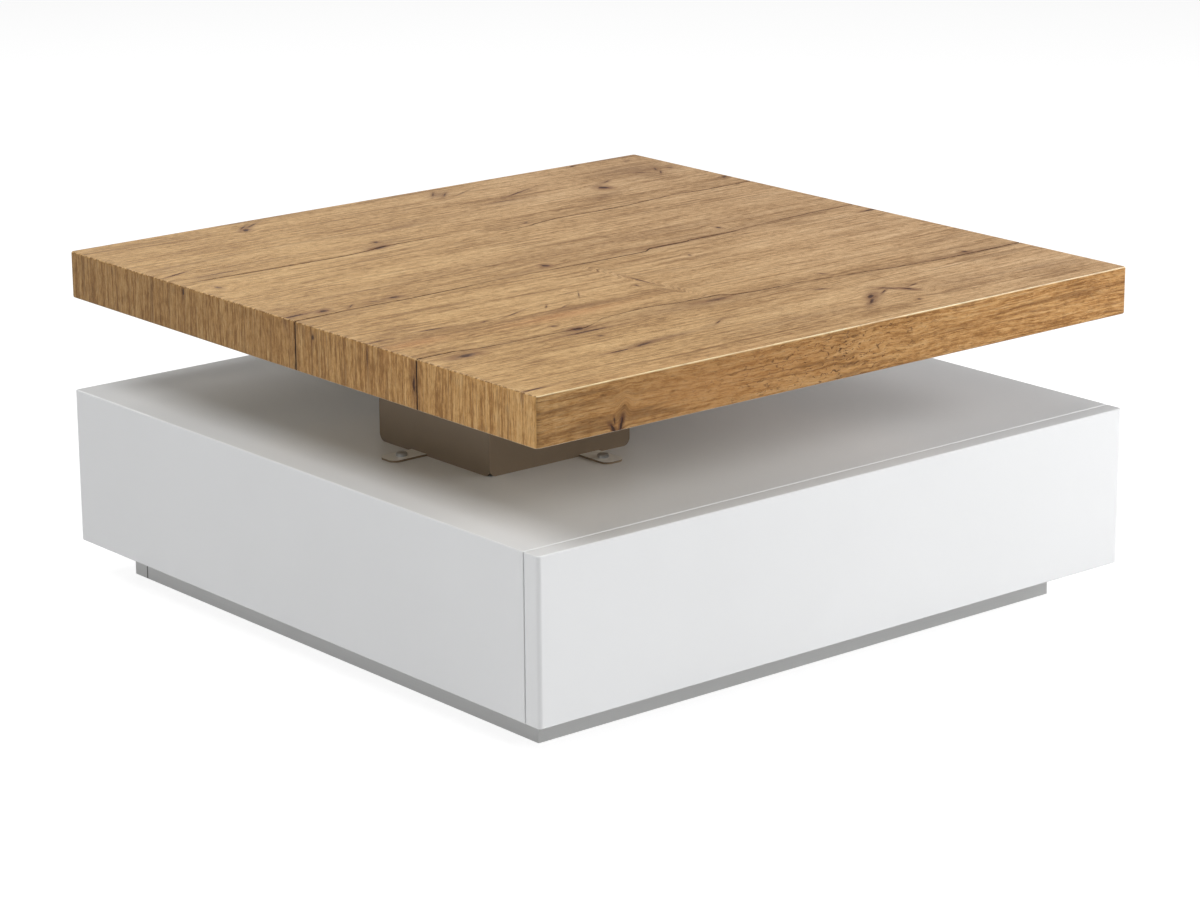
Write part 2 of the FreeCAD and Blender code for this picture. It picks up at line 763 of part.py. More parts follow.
def bore_dowels(piece, directions):
    """Bore the holes of the dowels that point in one of these directions."""
    profile = rod("dowel_radius + dowel_fit", "-(dowel_long - dowel_depth)", "dowel_depth")
    for towards, place in dowel_rows():
        if towards in directions:
            piece.bore(towards, profile, place)


def at_mouth(axis, sign):
    """Choose the edges where a mitred panel's front end meets its outer face."""
    at_end = at_front(CARCASS_FRONT)
    outer = value(outer_face(axis, sign))

    def chosen(edge):
        box = edge.BoundBox
        ends = (box.XMin, box.XMax) if axis == "x" else (box.ZMin, box.ZMax)
        return at_end(edge) and max(abs(end - outer) for end in ends) < value("arris_round")

    return chosen


def make_mitred_panel(name, axis, sign, direction):
    panel = Piece(name, CARCASS)
    panel.pad("XZ", CARCASS_FRONT, CARCASS_LONG, ends=mitred_profile(axis, sign))
    panel.round_edges("mouth_round", at_mouth(axis, sign))
    bore_dowels(panel, (direction,))
    return panel


def make_carcass_top_panel():
    panel = make_mitred_panel("carcass_top_panel", "z", 1, "+z")
    low = "body_high - panel_thick"
    for across, along, corners in tab_places():
        hole = rod("tab_bolt_shank + bolt_fit", "0", "panel_thick")
        panel.bore("+z", hole, (f"pivot_across + {across}", f"pivot_along + {along}", low))


def make_carcass_bottom_panel():
    panel = make_mitred_panel("carcass_bottom_panel", "z", -1, "-z")
    for across, along in block_centres():
        panel.bore("+z", rod("block_screw_shank + bolt_fit", "0", "block_screw_bite"), (across, along, "0"))
    for across, along in latch_screw_places():
        depth = "latch_screw_long - latch_foot_thick"
        hole = rod("latch_screw_shank + bolt_fit", "0", depth)
        panel.bore("-z", hole, (across, f"{LATCH[1]} + {along}", "panel_thick"))


def make_carcass_side(name, side):
    panel = make_mitred_panel(name, "x", side, outwards(side))
    high = "panel_thick + drawer_lift + runner_rise"
    hole = rod("runner_screw_shank + bolt_fit", "0", "runner_screw_long - runner_sheet")
    for along in runner_screw_places():
        place = (f"{side} * {INNER_HALF}", f"{RUNNER_MIDDLE} + {along}", high)
        panel.bore(outwards(side), hole, place)


def make_carcass_back_panel():
    back = Piece("carcass_back_panel", CARCASS)
    outline = rectangle(f"-{INNER_HALF}", INNER_HALF, "panel_thick", "body_high - panel_thick")
    back.pad("XZ", f"{HALF_DEPTH} - back_thick", "back_thick", [outline])
    bore_dowels(back, ("-x", "+x", "-z", "+z"))


def make_carcass_dowels():
    dowels = Piece("carcass_dowels", CARCASS)
    for towards, place in dowel_rows():
        dowels.turn(towards, rod("dowel_radius", "-(dowel_long - dowel_depth)", "dowel_depth"), place)


# Plinth

BLOCK_SCREW_LONG = "plinth_high - block_lift + block_screw_bite"


def block_centres():
    """Places of the plinth's corner blocks."""
    across = f"({PLINTH_HALF} - plinth_thick - block_width / 2)"
    front = f"{PLINTH_FRONT} + plinth_thick + block_width / 2"
    rear = f"{PLINTH_REAR} - plinth_back_thick - block_width / 2"
    return [(f"{side} * {across}", along) for side in (-1, 1) for along in (front, rear)]


def make_plinth_front():
    board = Piece("plinth_front", TABLE)
    rear = f"{PLINTH_FRONT} + plinth_thick"
    inner = f"{PLINTH_HALF} - plinth_thick"
    front_edge = [(f"-{PLINTH_HALF}", PLINTH_FRONT), (PLINTH_HALF, PLINTH_FRONT)]
    board.pad("XY", "0", "plinth_high", [front_edge + [(inner, rear), (f"-({inner})", rear)]])


def make_plinth_side(name, side):
    board = Piece(name, TABLE)
    outer, inner = f"{side} * {PLINTH_HALF}", f"{side} * ({PLINTH_HALF} - plinth_thick)"
    rear = f"{PLINTH_REAR} - plinth_back_thick"
    mitre = [(outer, PLINTH_FRONT), (inner, f"{PLINTH_FRONT} + plinth_thick")]
    board.pad("XY", "0", "plinth_high", [mitre + [(inner, rear), (outer, rear)]])


def make_plinth_back():
    board = Piece("plinth_back", TABLE)
    outline = rectangle(f"-{PLINTH_HALF}", PLINTH_HALF, f"{PLINTH_REAR} - plinth_back_thick", PLINTH_REAR)
    board.pad("XY", "0", "plinth_high", [outline])


def make_plinth_corner_blocks():
    blocks = Piece("plinth_corner_blocks", TABLE)
    half = "block_width / 2"
    outlines = []
    for across, along in block_centres():
        left, right = f"{across} - {half}", f"{across} + {half}"
        outlines.append(rectangle(left, right, f"{along} - {half}", f"{along} + {half}"))
    blocks.pad("XY", "block_lift", "plinth_high - block_lift", outlines)
    for across, along in block_centres():
        profile = countersunk("block_screw", "block_screw_sink", BLOCK_SCREW_LONG, "bolt_fit")
        blocks.bore("+z", profile, (across, along, "block_lift"))


def make_plinth_screws():
    screws = Piece("plinth_screws", TABLE)
    for across, along in block_centres():
        profile = countersunk("block_screw", "block_screw_sink", BLOCK_SCREW_LONG)
        screws.turn("+z", profile, (across, along, "block_lift"))


# Drawer

BOX_HALF = f"({DRAWER_HALF} - drawer_side_thick)"
BACK_START = f"({DRAWER_REAR} - drawer_end_thick)"
GROOVE_HIGH = "(drawer_bottom_thick + groove_play)"
STRIKE_LEVEL = f"({INNER_FLOOR} + latch_axis_high - {DRAWER_FLOOR})"
FRONT_END_MIDDLE = "front_thick + drawer_end_thick / 2"
BACK_END_MIDDLE = f"{DRAWER_REAR} - drawer_end_thick / 2"
BOX_SCREW_HEIGHTS = ("box_screw_low", "box_screw_upper")


def front_screw_places():
    """Each screw from the drawer box into its front as (X, height), in the drawer's frame."""
    return [(f"{side} * front_screw_across", height) for side in (-1, 1) for height in BOX_SCREW_HEIGHTS]


def bore_box_screws(board, side, along):
    """Bore the holes of the screws that join a drawer side to one end of the box."""
    profile = countersunk("box_screw", "box_screw_sink", "box_screw_long", "bolt_fit")
    for height in BOX_SCREW_HEIGHTS:
        board.bore(outwards(-side), profile, (f"{side} * {DRAWER_HALF}", along, height))


def make_drawer_front():
    front = Piece("drawer_front", DRAWER)
    low = f"plinth_high - {DRAWER_FLOOR}"
    outline = rectangle(f"-{HALF_WIDTH}", HALF_WIDTH, low, f"{low} + body_high")
    front.pad("XZ", "0", "front_thick", [outline])
    face, rear = at_front("0"), at_front("front_thick")
    flat = at_height(low, f"{low} + body_high")
    front.round_edges("front_round", lambda edge: face(edge) and not flat(edge))
    front.round_edges("arris_round", lambda edge: flat(edge) and not rear(edge))
    for across, height in front_screw_places():
        hole = rod("front_screw_shank + bolt_fit", "0", "front_screw_bite")
        front.bore("-y", hole, (across, "front_thick", height))


def make_drawer_side(name, side):
    board = Piece(name, DRAWER)
    inner, outer = f"{side} * {BOX_HALF}", f"{side} * {DRAWER_HALF}"
    board.pad("XY", "0", "drawer_side_high", [rectangle(inner, outer, "front_thick", DRAWER_REAR)])
    groove_end = f"{side} * ({BOX_HALF} + groove_depth)"
    start, end = "front_thick + drawer_end_thick - groove_depth", f"{BACK_START} + groove_depth"
    board.cut("XY", "drawer_bottom_rise", GROOVE_HIGH, [rectangle(inner, groove_end, start, end)])
    for along in (FRONT_END_MIDDLE, BACK_END_MIDDLE):
        bore_box_screws(board, side, along)
    hole = rod("runner_screw_shank + bolt_fit", "0", "runner_screw_long - runner_sheet")
    for along in runner_screw_places():
        place = (outer, f"{RUNNER_MIDDLE} + {HALF_DEPTH} + {along}", "runner_rise")
        board.bore(outwards(-side), hole, place)


def make_drawer_end(name, start, groove_start, middle):
    board = Piece(name, DRAWER)
    outline = rectangle(f"-{BOX_HALF}", BOX_HALF, start, f"{start} + drawer_end_thick")
    board.pad("XY", "0", "drawer_side_high", [outline])
    groove = rectangle(f"-{BOX_HALF}", BOX_HALF, groove_start, f"{groove_start} + groove_depth")
    board.cut("XY", "drawer_bottom_rise", GROOVE_HIGH, [groove])
    for side in (-1, 1):
        bore_box_screws(board, side, middle)
    return board


def make_drawer_box_front():
    groove_start = "front_thick + drawer_end_thick - groove_depth"
    board = make_drawer_end("drawer_box_front", "front_thick", groove_start, FRONT_END_MIDDLE)
    for across, height in front_screw_places():
        hole = rod("front_screw_shank + bolt_fit", "0", "drawer_end_thick")
        board.bore("+y", hole, (across, "front_thick", height))


def make_drawer_back():
    board = make_drawer_end("drawer_back", BACK_START, BACK_START, BACK_END_MIDDLE)
    hole = rod("strike_pin_radius + bolt_fit", "0", "strike_pin_long")
    board.bore("-y", hole, ("0", DRAWER_REAR, STRIKE_LEVEL))


def make_drawer_bottom():
    sheet = Piece("drawer_bottom", DRAWER)
    tongue = "(groove_depth - groove_play)"
    start, end = f"front_thick + drawer_end_thick - {tongue}", f"{BACK_START} + {tongue}"
    outline = rectangle(f"-({BOX_HALF} + {tongue})", f"{BOX_HALF} + {tongue}", start, end)
    sheet.pad("XY", "drawer_bottom_rise", "drawer_bottom_thick", [outline])


def make_drawer_box_screws():
    screws = Piece("drawer_box_screws", DRAWER)
    profile = countersunk("box_screw", "box_screw_sink", "box_screw_long")
    for side in (-1, 1):
        for along in (FRONT_END_MIDDLE, BACK_END_MIDDLE):
            for height in BOX_SCREW_HEIGHTS:
                screws.turn(outwards(-side), profile, (f"{side} * {DRAWER_HALF}", along, height))


def make_drawer_front_screws():
    screws = Piece("drawer_front_screws", DRAWER)
    for across, height in front_screw_places():
        profile = raised("front_screw", "drawer_end_thick + front_screw_bite")
        screws.turn("-y", profile, (across, "front_thick + drawer_end_thick", height))


# Ball-bearing runners: three nested channels a side, with a cage of balls in each of the two races

RUNNER_MIDDLE = f"({CARCASS_FRONT} + runner_setback + runner_long / 2)"
RUNNER_LEVEL = f"{DRAWER_FLOOR} + runner_rise"
OUTER_HALF = "(runner_high / 2)"
MIDDLE_HALF = f"({OUTER_HALF} - runner_sheet - runner_race)"
INNER_RUNNER_HALF = f"({MIDDLE_HALF} - runner_sheet - runner_race)"
OUTER_CAGE_WEB = "(runner_sheet + runner_web_gap)"
MIDDLE_WEB = f"({OUTER_CAGE_WEB} + runner_cage_sheet + runner_web_gap)"
INNER_CAGE_WEB = f"({MIDDLE_WEB} + runner_sheet + runner_web_gap)"
INNER_FLANGE = f"({INNER_CAGE_WEB} + runner_cage_sheet + runner_web_gap)"
FLANGE_END = "(runner_thick - runner_sheet + runner_web_gap / 2)"
CAGE_END = "(runner_thick - runner_sheet - runner_web_gap)"
CAGE_LONG = "(runner_long - drawer_travel / 2 - 2 * cage_margin)"
RUNNER_BALL = "(runner_race / 2 - runner_ball_play)"


def runner_datum(side):
    """The middle of a runner, on the inner face of the carcass side."""
    return (f"{side} * {INNER_HALF}", RUNNER_MIDDLE, RUNNER_LEVEL)


def runner_screw_places():
    """Each runner screw's Y, about the runner's middle."""
    return [f"{share} * runner_screw_spacing" for share in (-1, 0, 1)]


def channel(side, web, flange, sheet, half):
    """Corners of a channel's section, from the outer face of its web to the ends of its flanges."""
    lean = 1 if value(flange) > value(web) else -1
    inside, edge = f"{web} + {lean} * {sheet}", f"{half} - {sheet}"
    corners = [(web, f"-{half}"), (flange, f"-{half}"), (flange, f"-({edge})"), (inside, f"-({edge})")]
    corners += [(inside, edge), (flange, edge), (flange, half), (web, half)]
    return [(f"{-side} * ({across})", up) for across, up in corners]


def make_runner_outer(name, side):
    member = Piece(name, runner_datum(side))
    section = channel(side, "0", FLANGE_END, "runner_sheet", OUTER_HALF)
    member.pad("XZ", "-runner_long / 2", "runner_long", [section])
    profile = countersunk("runner_screw", "runner_sheet", "runner_screw_long", "bolt_fit")
    for along in runner_screw_places():
        member.bore(outwards(side), profile, (f"{-side} * runner_sheet", along, "0"))


def make_runner_middle(name, side):
    member = Piece(name, runner_datum(side))
    section = channel(side, MIDDLE_WEB, FLANGE_END, "runner_sheet", MIDDLE_HALF)
    member.pad("XZ", "-runner_long / 2", "runner_long", [section])


def make_runner_inner(name, side):
    member = Piece(name, runner_datum(side))
    section = channel(side, "runner_thick", INNER_FLANGE, "runner_sheet", INNER_RUNNER_HALF)
    member.pad("XZ", "-runner_long / 2", "runner_long", [section])
    profile = countersunk("runner_screw", "runner_sheet", "runner_screw_long", "bolt_fit")
    for along in runner_screw_places():
        place = (f"{-side} * (runner_thick - runner_sheet)", along, "0")
        member.bore(outwards(-side), profile, place)


def cage_race(which):
    """A cage's web and the height of its flanges' middle, for the outer or the inner race."""
    if which == "outer":
        return OUTER_CAGE_WEB, f"({OUTER_HALF} - runner_sheet - runner_race / 2)"
    return INNER_CAGE_WEB, f"({MIDDLE_HALF} - runner_sheet - runner_race / 2)"


def ball_rows(side, web):
    """The X of a cage's balls, and the Y of its first ball and the length of the row."""
    across = f"{-side} * ({web} + {CAGE_END}) / 2"
    return across, f"runner_ball_margin - {CAGE_LONG} / 2", f"{CAGE_LONG} - 2 * runner_ball_margin"


def make_runner_cage(name, side, which):
    web, level = cage_race(which)
    cage = Piece(name, runner_datum(side))
    half = f"({level} + runner_cage_sheet / 2)"
    section = channel(side, web, CAGE_END, "runner_cage_sheet", half)
    cage.pad("XZ", f"-{CAGE_LONG} / 2", CAGE_LONG, [section])
    across, first, length = ball_rows(side, web)
    pitch = f"({length}) / (runner_ball_count - 1)"
    holes = []
    for number in range(round(value("runner_ball_count"))):
        holes.append((across, f"{first} + {number} * {pitch}", f"{RUNNER_BALL} + pocket_play"))
    cage.cut("XY", f"-{half}", f"2 * {half}", circles=holes)


def make_runner_balls(name, side, which):
    web, level = cage_race(which)
    balls = Piece(name, runner_datum(side))
    across, first, length = ball_rows(side, web)
    balls.ball(RUNNER_BALL, (across, first, level))
    balls.row("Y", length, "runner_ball_count")
    balls.mirror("XY")


def make_runner_carcass_screws():
    screws = Piece("runner_carcass_screws", ("0", RUNNER_MIDDLE, RUNNER_LEVEL))
    profile = countersunk("runner_screw", "runner_sheet", "runner_screw_long")
    for along in runner_screw_places():
        screws.turn("+x", profile, (f"{INNER_HALF} - runner_sheet", along, "0"))
    screws.mirror("YZ")


def make_runner_drawer_screws():
    screws = Piece("runner_drawer_screws", ("0", RUNNER_MIDDLE, RUNNER_LEVEL))
    profile = countersunk("runner_screw", "runner_sheet", "runner_screw_long")
    for along in runner_screw_places():
        screws.turn("-x", profile, (f"{DRAWER_HALF} + runner_sheet", along, "0"))
    screws.mirror("YZ")


# Push-to-open latch behind the drawer

LATCH_NOSE = "(latch_tip_thick + latch_press + latch_nose_gap)"
LATCH_LONG = "(latch_bore_long + latch_end_wall)"
ROD_END = "(latch_tip_thick + latch_rod_long)"
SPRING_LONG = f"({LATCH_NOSE} + latch_bore_long - {ROD_END} - spring_wire - 2 * latch_gap)"


def latch_screw_places():
    """Each latch screw's X and Y, about the latch's datum."""
    return [(f"{side} * latch_screw_across", f"{LATCH_NOSE} + {LATCH_LONG} / 2") for side in (-1, 1)]


def make_push_latch_housing():
    housing = Piece("push_latch_housing", LATCH)
    foot, barrel = "latch_foot_half", "latch_barrel_half"
    top = "latch_axis_high + latch_barrel_half"
    section = [
        (f"-{foot}", "0"),
        (foot, "0"),
        (foot, "latch_foot_thick"),
        (barrel, "latch_foot_thick"),
        (barrel, top, "latch_foot_thick"),
        (f"-{barrel}", top, "latch_foot_thick"),
        (f"-{barrel}", "latch_foot_thick"),
        (f"-{foot}", "latch_foot_thick"),
    ]
    housing.pad("XZ", LATCH_NOSE, LATCH_LONG, [section])
    bore = rod("latch_rod_radius + latch_fit", "0", "latch_bore_long")
    housing.bore("+y", bore, ("0", LATCH_NOSE, "latch_axis_high"))
    for across, along in latch_screw_places():
        profile = countersunk("latch_screw", "latch_screw_sink", "latch_screw_long", "bolt_fit")
        housing.bore("-z", profile, (across, along, "latch_foot_thick"))


def make_push_latch_plunger():
    plunger = Piece("push_latch_plunger", LATCH)
    profile = [
        ("0", "0"),
        ("0", "latch_tip_radius"),
        ("latch_tip_thick", "latch_tip_radius"),
        ("latch_tip_thick", "latch_rod_radius"),
        (ROD_END, "latch_rod_radius"),
        (ROD_END, "0"),
    ]
    plunger.turn("+y", profile, ("0", "0", "latch_axis_high"))


def make_push_latch_spring():
    spring = Piece("push_latch_spring", LATCH)
    start = f"{ROD_END} + latch_gap + spring_wire / 2"
    sketch = spring.sketch("XY", ("0", start, "latch_axis_high"))
    draw_circle(sketch, "spring_radius", "0", "spring_wire / 2")
    coil = spring.feature("AdditiveHelix", Profile=sketch, ReferenceAxis=(sketch, ["V_Axis"]), Mode=0)
    coil.setExpression("Pitch", bind("spring_pitch"))
    coil.setExpression("Height", bind(SPRING_LONG))


def make_push_latch_screws():
    screws = Piece("push_latch_screws", LATCH)
    for across, along in latch_screw_places():
        profile = countersunk("latch_screw", "latch_screw_sink", "latch_screw_long")
        screws.turn("-z", profile, (across, along, "latch_foot_thick"))


def make_latch_strike_plate():
    strike = Piece("latch_strike_plate", DRAWER)
    profile = [
        ("-strike_pin_long", "0"),
        ("-strike_pin_long", "strike_pin_radius"),
        ("0", "strike_pin_radius"),
        ("0", "strike_radius"),
        ("strike_thick", "strike_radius"),
        ("strike_thick", "0"),
    ]
    strike.turn("+y", profile, ("0", DRAWER_REAR, STRIKE_LEVEL))


def make_swivel():
    """The top, its bearing and the pedestal."""
    make_table_top()
    make_bearing_upper_plate()
    make_bearing_upper_screws()
    make_pivot_thrust_washer()
    make_bearing_cage()
    make_bearing_balls()
    make_bearing_lower_plate()
    make_bearing_lower_bolts()
    make_bearing_lower_nuts()
    make_pivot_bolt()
    make_pivot_lock_nut()
    make_pedestal_box()
    make_pedestal_bolts()
    make_pedestal_washers()
    make_pedestal_nuts()


def make_body():
    """The carcass and the plinth under it."""
    make_carcass_top_panel()
    make_carcass_bottom_panel()
    make_carcass_side("carcass_left_side", -1)
    make_carcass_side("carcass_right_side", 1)
    make_carcass_back_panel()
    make_carcass_dowels()
    make_plinth_front()
    make_plinth_side("plinth_left", -1)
    make_plinth_side("plinth_right", 1)
    make_plinth_back()
    make_plinth_corner_blocks()
    make_plinth_screws()


def make_drawer():
    """The drawer, its runners and its latch."""
    make_drawer_front()
    make_drawer_box_front()
    make_drawer_side("drawer_left_side", -1)
    make_drawer_side("drawer_right_side", 1)
    make_drawer_back()
    make_drawer_bottom()
    make_drawer_box_screws()
    make_drawer_front_screws()
    for hand, side in (("left", -1), ("right", 1)):
        make_runner_outer(f"{hand}_runner_outer", side)
        make_runner_middle(f"{hand}_runner_middle", side)
        make_runner_inner(f"{hand}_runner_inner", side)
        for race in ("outer", "inner"):
            make_runner_cage(f"{hand}_{race}_ball_cage", side, race)
            make_runner_balls(f"{hand}_{race}_balls", side, race)
    make_runner_carcass_screws()
    make_runner_drawer_screws()
    make_push_latch_housing()
    make_push_latch_plunger()
    make_push_latch_spring()
    make_push_latch_screws()
    make_latch_strike_plate()


def check_document():
    """Stop if any object of the document failed, or a sub-part has no valid shape."""
    DOC.recompute()
    for item in DOC.Objects:
        if "Invalid" in item.State or "Error" in item.State:
            raise ValueError(f"{item.Label} failed: {item.State}")
    for body in PIECES:
        if body.Shape.isNull() or not body.Shape.isValid() or not body.Shape.Solids:
            raise ValueError(f"{body.Label} has no valid shape")


def export_pieces():
    """Write each sub-part to its own STEP file."""
    os.makedirs("parts", exist_ok=True)
    for body in PIECES:
        body.Shape.exportStep(f"parts/{body.Label}.step")
        box = body.Shape.BoundBox
        low = f"{box.XMin:8.2f} {box.YMin:8.2f} {box.ZMin:8.2f}"
        high = f"{box.XMax:8.2f} {box.YMax:8.2f} {box.ZMax:8.2f}"
        print(f"{body.Label:24} {len(body.Shape.Solids):3} solids  {low}  {high}")


fill_sheet()
make_swivel()
make_body()
make_drawer()
check_document()
export_pieces()
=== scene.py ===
"""Looks of the swivel coffee table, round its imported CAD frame."""

import json
import math

import bpy
import numpy as np
from mathutils import Matrix, Vector

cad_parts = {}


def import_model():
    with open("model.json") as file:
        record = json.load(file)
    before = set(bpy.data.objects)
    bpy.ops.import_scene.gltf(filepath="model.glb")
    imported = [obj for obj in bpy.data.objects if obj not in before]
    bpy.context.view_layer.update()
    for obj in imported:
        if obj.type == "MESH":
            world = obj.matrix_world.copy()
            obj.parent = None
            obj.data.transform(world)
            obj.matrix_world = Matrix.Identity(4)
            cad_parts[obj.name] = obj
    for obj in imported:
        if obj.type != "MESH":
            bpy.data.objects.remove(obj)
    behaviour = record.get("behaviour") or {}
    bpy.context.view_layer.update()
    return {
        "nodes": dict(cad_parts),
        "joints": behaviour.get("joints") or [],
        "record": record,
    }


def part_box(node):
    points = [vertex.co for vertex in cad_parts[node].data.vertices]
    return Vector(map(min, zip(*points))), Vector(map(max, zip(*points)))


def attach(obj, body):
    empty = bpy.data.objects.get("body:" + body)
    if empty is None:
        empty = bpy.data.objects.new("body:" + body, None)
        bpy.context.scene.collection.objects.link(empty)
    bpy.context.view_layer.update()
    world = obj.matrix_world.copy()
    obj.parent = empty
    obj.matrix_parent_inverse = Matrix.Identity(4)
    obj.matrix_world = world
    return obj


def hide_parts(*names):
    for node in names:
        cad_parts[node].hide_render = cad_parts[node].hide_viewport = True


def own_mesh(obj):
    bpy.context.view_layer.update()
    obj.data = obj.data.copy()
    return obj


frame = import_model()
BOARD_LOW, BOARD_HIGH = (Vector(corner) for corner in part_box("table_top"))
HALF = BOARD_HIGH.x
MM = 0.001
WHITE = (1, 1, 1, 1)


def colour(red, green, blue):
    """A linear colour from the usual 0-255 notation, by the sRGB curve."""
    shades = [level / 255 for level in (red, green, blue)]
    return [((shade + 0.055) / 1.055) ** 2.4 if shade > 0.04 else shade / 12.92 for shade in shades] + [1.0]


class Wire:
    """An output socket that can be calculated with."""

    def __init__(self, graph, socket):
        self.graph = graph
        self.socket = socket

    def __add__(self, other):
        return self.graph.math("ADD", self, other)

    __radd__ = __add__

    def __mul__(self, other):
        return self.graph.math("MULTIPLY", self, other)

    def __sub__(self, other):
        return self.graph.math("SUBTRACT", self, other)

    def __rsub__(self, other):
        return self.graph.math("SUBTRACT", other, self)

    def __pow__(self, other):
        return self.graph.math("POWER", self, other)

    def __abs__(self):
        return self.graph.math("ABSOLUTE", self)


class Graph:
    """The shader nodes of a material or of the world."""

    def __init__(self, owner, output="ShaderNodeOutputMaterial"):
        owner.use_nodes = True
        self.owner = owner
        self.tree = owner.node_tree
        self.tree.nodes.clear()
        self.output = self.tree.nodes.new(output)

    def feed(self, socket, given):
        """Link a wire to a socket, or set the socket to a constant."""
        if isinstance(given, Wire):
            self.tree.links.new(given.socket, socket)
        else:
            socket.default_value = given

    def node(self, kind, inputs=None, **settings):
        made = self.tree.nodes.new(kind)
        for name, setting in settings.items():
            setattr(made, name, setting)
        for key, given in (inputs or {}).items():
            self.feed(made.inputs[key], given)
        return made

    def wire(self, kind, inputs=None, output=0, **settings):
        """One output of a new node."""
        return Wire(self, self.node(kind, inputs, **settings).outputs[output])

    def math(self, operation, *values, clamp=False):
        inputs = dict(enumerate(values))
        return self.wire("ShaderNodeMath", inputs, operation=operation, use_clamp=clamp)

    def clamped(self, value):
        """The value, held between 0 and 1."""
        return self.math("ADD", value, 0.0, clamp=True)

    def step(self, value, low, high):
        """0 below low to 1 above high, smoothly."""
        inputs = {"Value": value, "From Min": low, "From Max": high}
        return self.wire("ShaderNodeMapRange", inputs, interpolation_type="SMOOTHSTEP")

    def coordinates(self, output="Object"):
        """The x, y and z of the object's own coordinates, or of its normal."""
        return self.split(self.wire("ShaderNodeTexCoord", output=output))

    def carried(self, name):
        """The three numbers that the mesh carries under a name."""
        return self.split(self.wire("ShaderNodeAttribute", output=1, attribute_name=name))

    def split(self, vector):
        parts = self.node("ShaderNodeSeparateXYZ", {0: vector})
        return [Wire(self, parts.outputs[number]) for number in range(3)]

    def join(self, x, y, z):
        return self.wire("ShaderNodeCombineXYZ", {0: x, 1: y, 2: z})

    def noise(self, x, y, z, detail, roughness=0.5, distortion=0.0):
        """Noise round 0.5, with spots about as wide as one unit of the given coordinates."""
        inputs = {"Vector": self.join(x, y, z), "Scale": 1.0, "Detail": detail}
        inputs.update({"Roughness": roughness, "Distortion": distortion})
        return self.wire("ShaderNodeTexNoise", inputs)

    def mix(self, factor, first, second, blend="MIX", clamped=False):
        """Two colours, mixed."""
        made = self.node("ShaderNodeMix", data_type="RGBA", blend_type=blend, clamp_result=clamped)
        self.feed(made.inputs[0], factor)
        self.feed(made.inputs[6], first)
        self.feed(made.inputs[7], second)
        return Wire(self, made.outputs[2])

    def ramp(self, factor, *stops):
        """A colour between stops, each of them a place and its colour."""
        made = self.node("ShaderNodeValToRGB", {0: factor})
        elements = made.color_ramp.elements
        while len(elements) < len(stops):
            elements.new(0.5)
        for element, (place, shade) in zip(elements, stops):
            element.position = place
            element.color = shade
        return Wire(self, made.outputs[0])

    def bump(self, height, distance, strength):
        inputs = {"Height": height, "Distance": distance, "Strength": strength}
        return self.wire("ShaderNodeBump", inputs)

    def show(self, shader):
        """Send a shader to the output, and hand back what owns the nodes."""
        self.tree.links.new(shader.socket, self.output.inputs["Surface"])
        return self.owner

    def surface(self, base, roughness, normal, **constants):
        """The material, with a Principled shader as its surface."""
        inputs = {"Base Color": base, "Roughness": roughness, "Normal": normal, **constants}
        return self.show(self.wire("ShaderNodeBsdfPrincipled", inputs))


def new_material(name):
    """The nodes of a new material."""
    return Graph(bpy.data.materials.new(name))


def lacquer():
    """White high-gloss lacquer: faint unevenness of colour, gloss and flatness."""
    g = new_material("white_lacquer")
    x, y, z = g.coordinates()
    cloud = g.noise(x * 9, y * 9, z * 9, 3.0)
    speck = g.noise(x * 420, y * 420, z * 420, 1.0)
    shade = g.mix(cloud, colour(238, 239, 240), colour(242, 243, 244))
    rough = 0.10 + cloud * 0.05 + g.step(speck, 0.62, 0.75) * 0.05
    peel = g.noise(x * 160, y * 160, z * 160, 2.0)
    wave = g.noise(x * 14, y * 14, z * 14, 1.0)
    normal = g.bump(peel * 0.15 + wave, 0.00012, 0.5)
    return g.surface(shade, rough, normal, IOR=1.5)


def silver_foil():
    """Silver-grey satin foil, brushed along the board, with a dark seam where the side butts on the back."""
    g = new_material("silver_plinth")
    x, y, z = g.coordinates()
    seam_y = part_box("plinth_back")[0][1]
    seam = 1.0 - g.step(abs(y - seam_y), 0.6 * MM, 1.2 * MM)
    brushed = g.noise(x * 3, y * 3, z * 1400, 3.0)
    cloud = g.noise(x * 5, y * 5, z * 20, 2.0)
    shade = g.mix(brushed * 0.7 + cloud * 0.3, colour(203, 203, 202), colour(221, 221, 220))
    shade = g.mix(seam * 0.9, shade, colour(52, 52, 52))
    normal = g.bump(brushed, 0.00005, 0.4)
    return g.surface(shade, 0.34 + brushed * 0.12, normal, Metallic=0.5)


def melamine():
    """White melamine board with a faint grained press."""
    g = new_material("drawer_box")
    x, y, z = g.coordinates()
    grain = g.noise(x * 90, y * 90, z * 900, 3.0)
    cloud = g.noise(x * 12, y * 12, z * 12, 2.0)
    shade = g.mix(grain * 0.6 + cloud * 0.4, colour(222, 221, 218), colour(236, 235, 232))
    return g.surface(shade, 0.42 + grain * 0.1, g.bump(grain, 0.00006, 0.5))


def beech():
    """Plain planed beech with its small flecks."""
    g = new_material("plain_wood")
    x, y, z = g.coordinates()
    streak = g.noise(x * 160, y * 160, z * 14, 4.0, 0.6)
    fleck = g.noise(x * 900, y * 900, z * 160, 1.0)
    shade = g.mix(streak, colour(206, 168, 122), colour(226, 194, 152))
    shade = g.mix(g.step(fleck, 0.62, 0.7) * 0.5, shade, colour(160, 112, 72))
    return g.surface(shade, 0.5 + streak * 0.15, g.bump(streak + fleck * 0.5, 0.0001, 0.6))


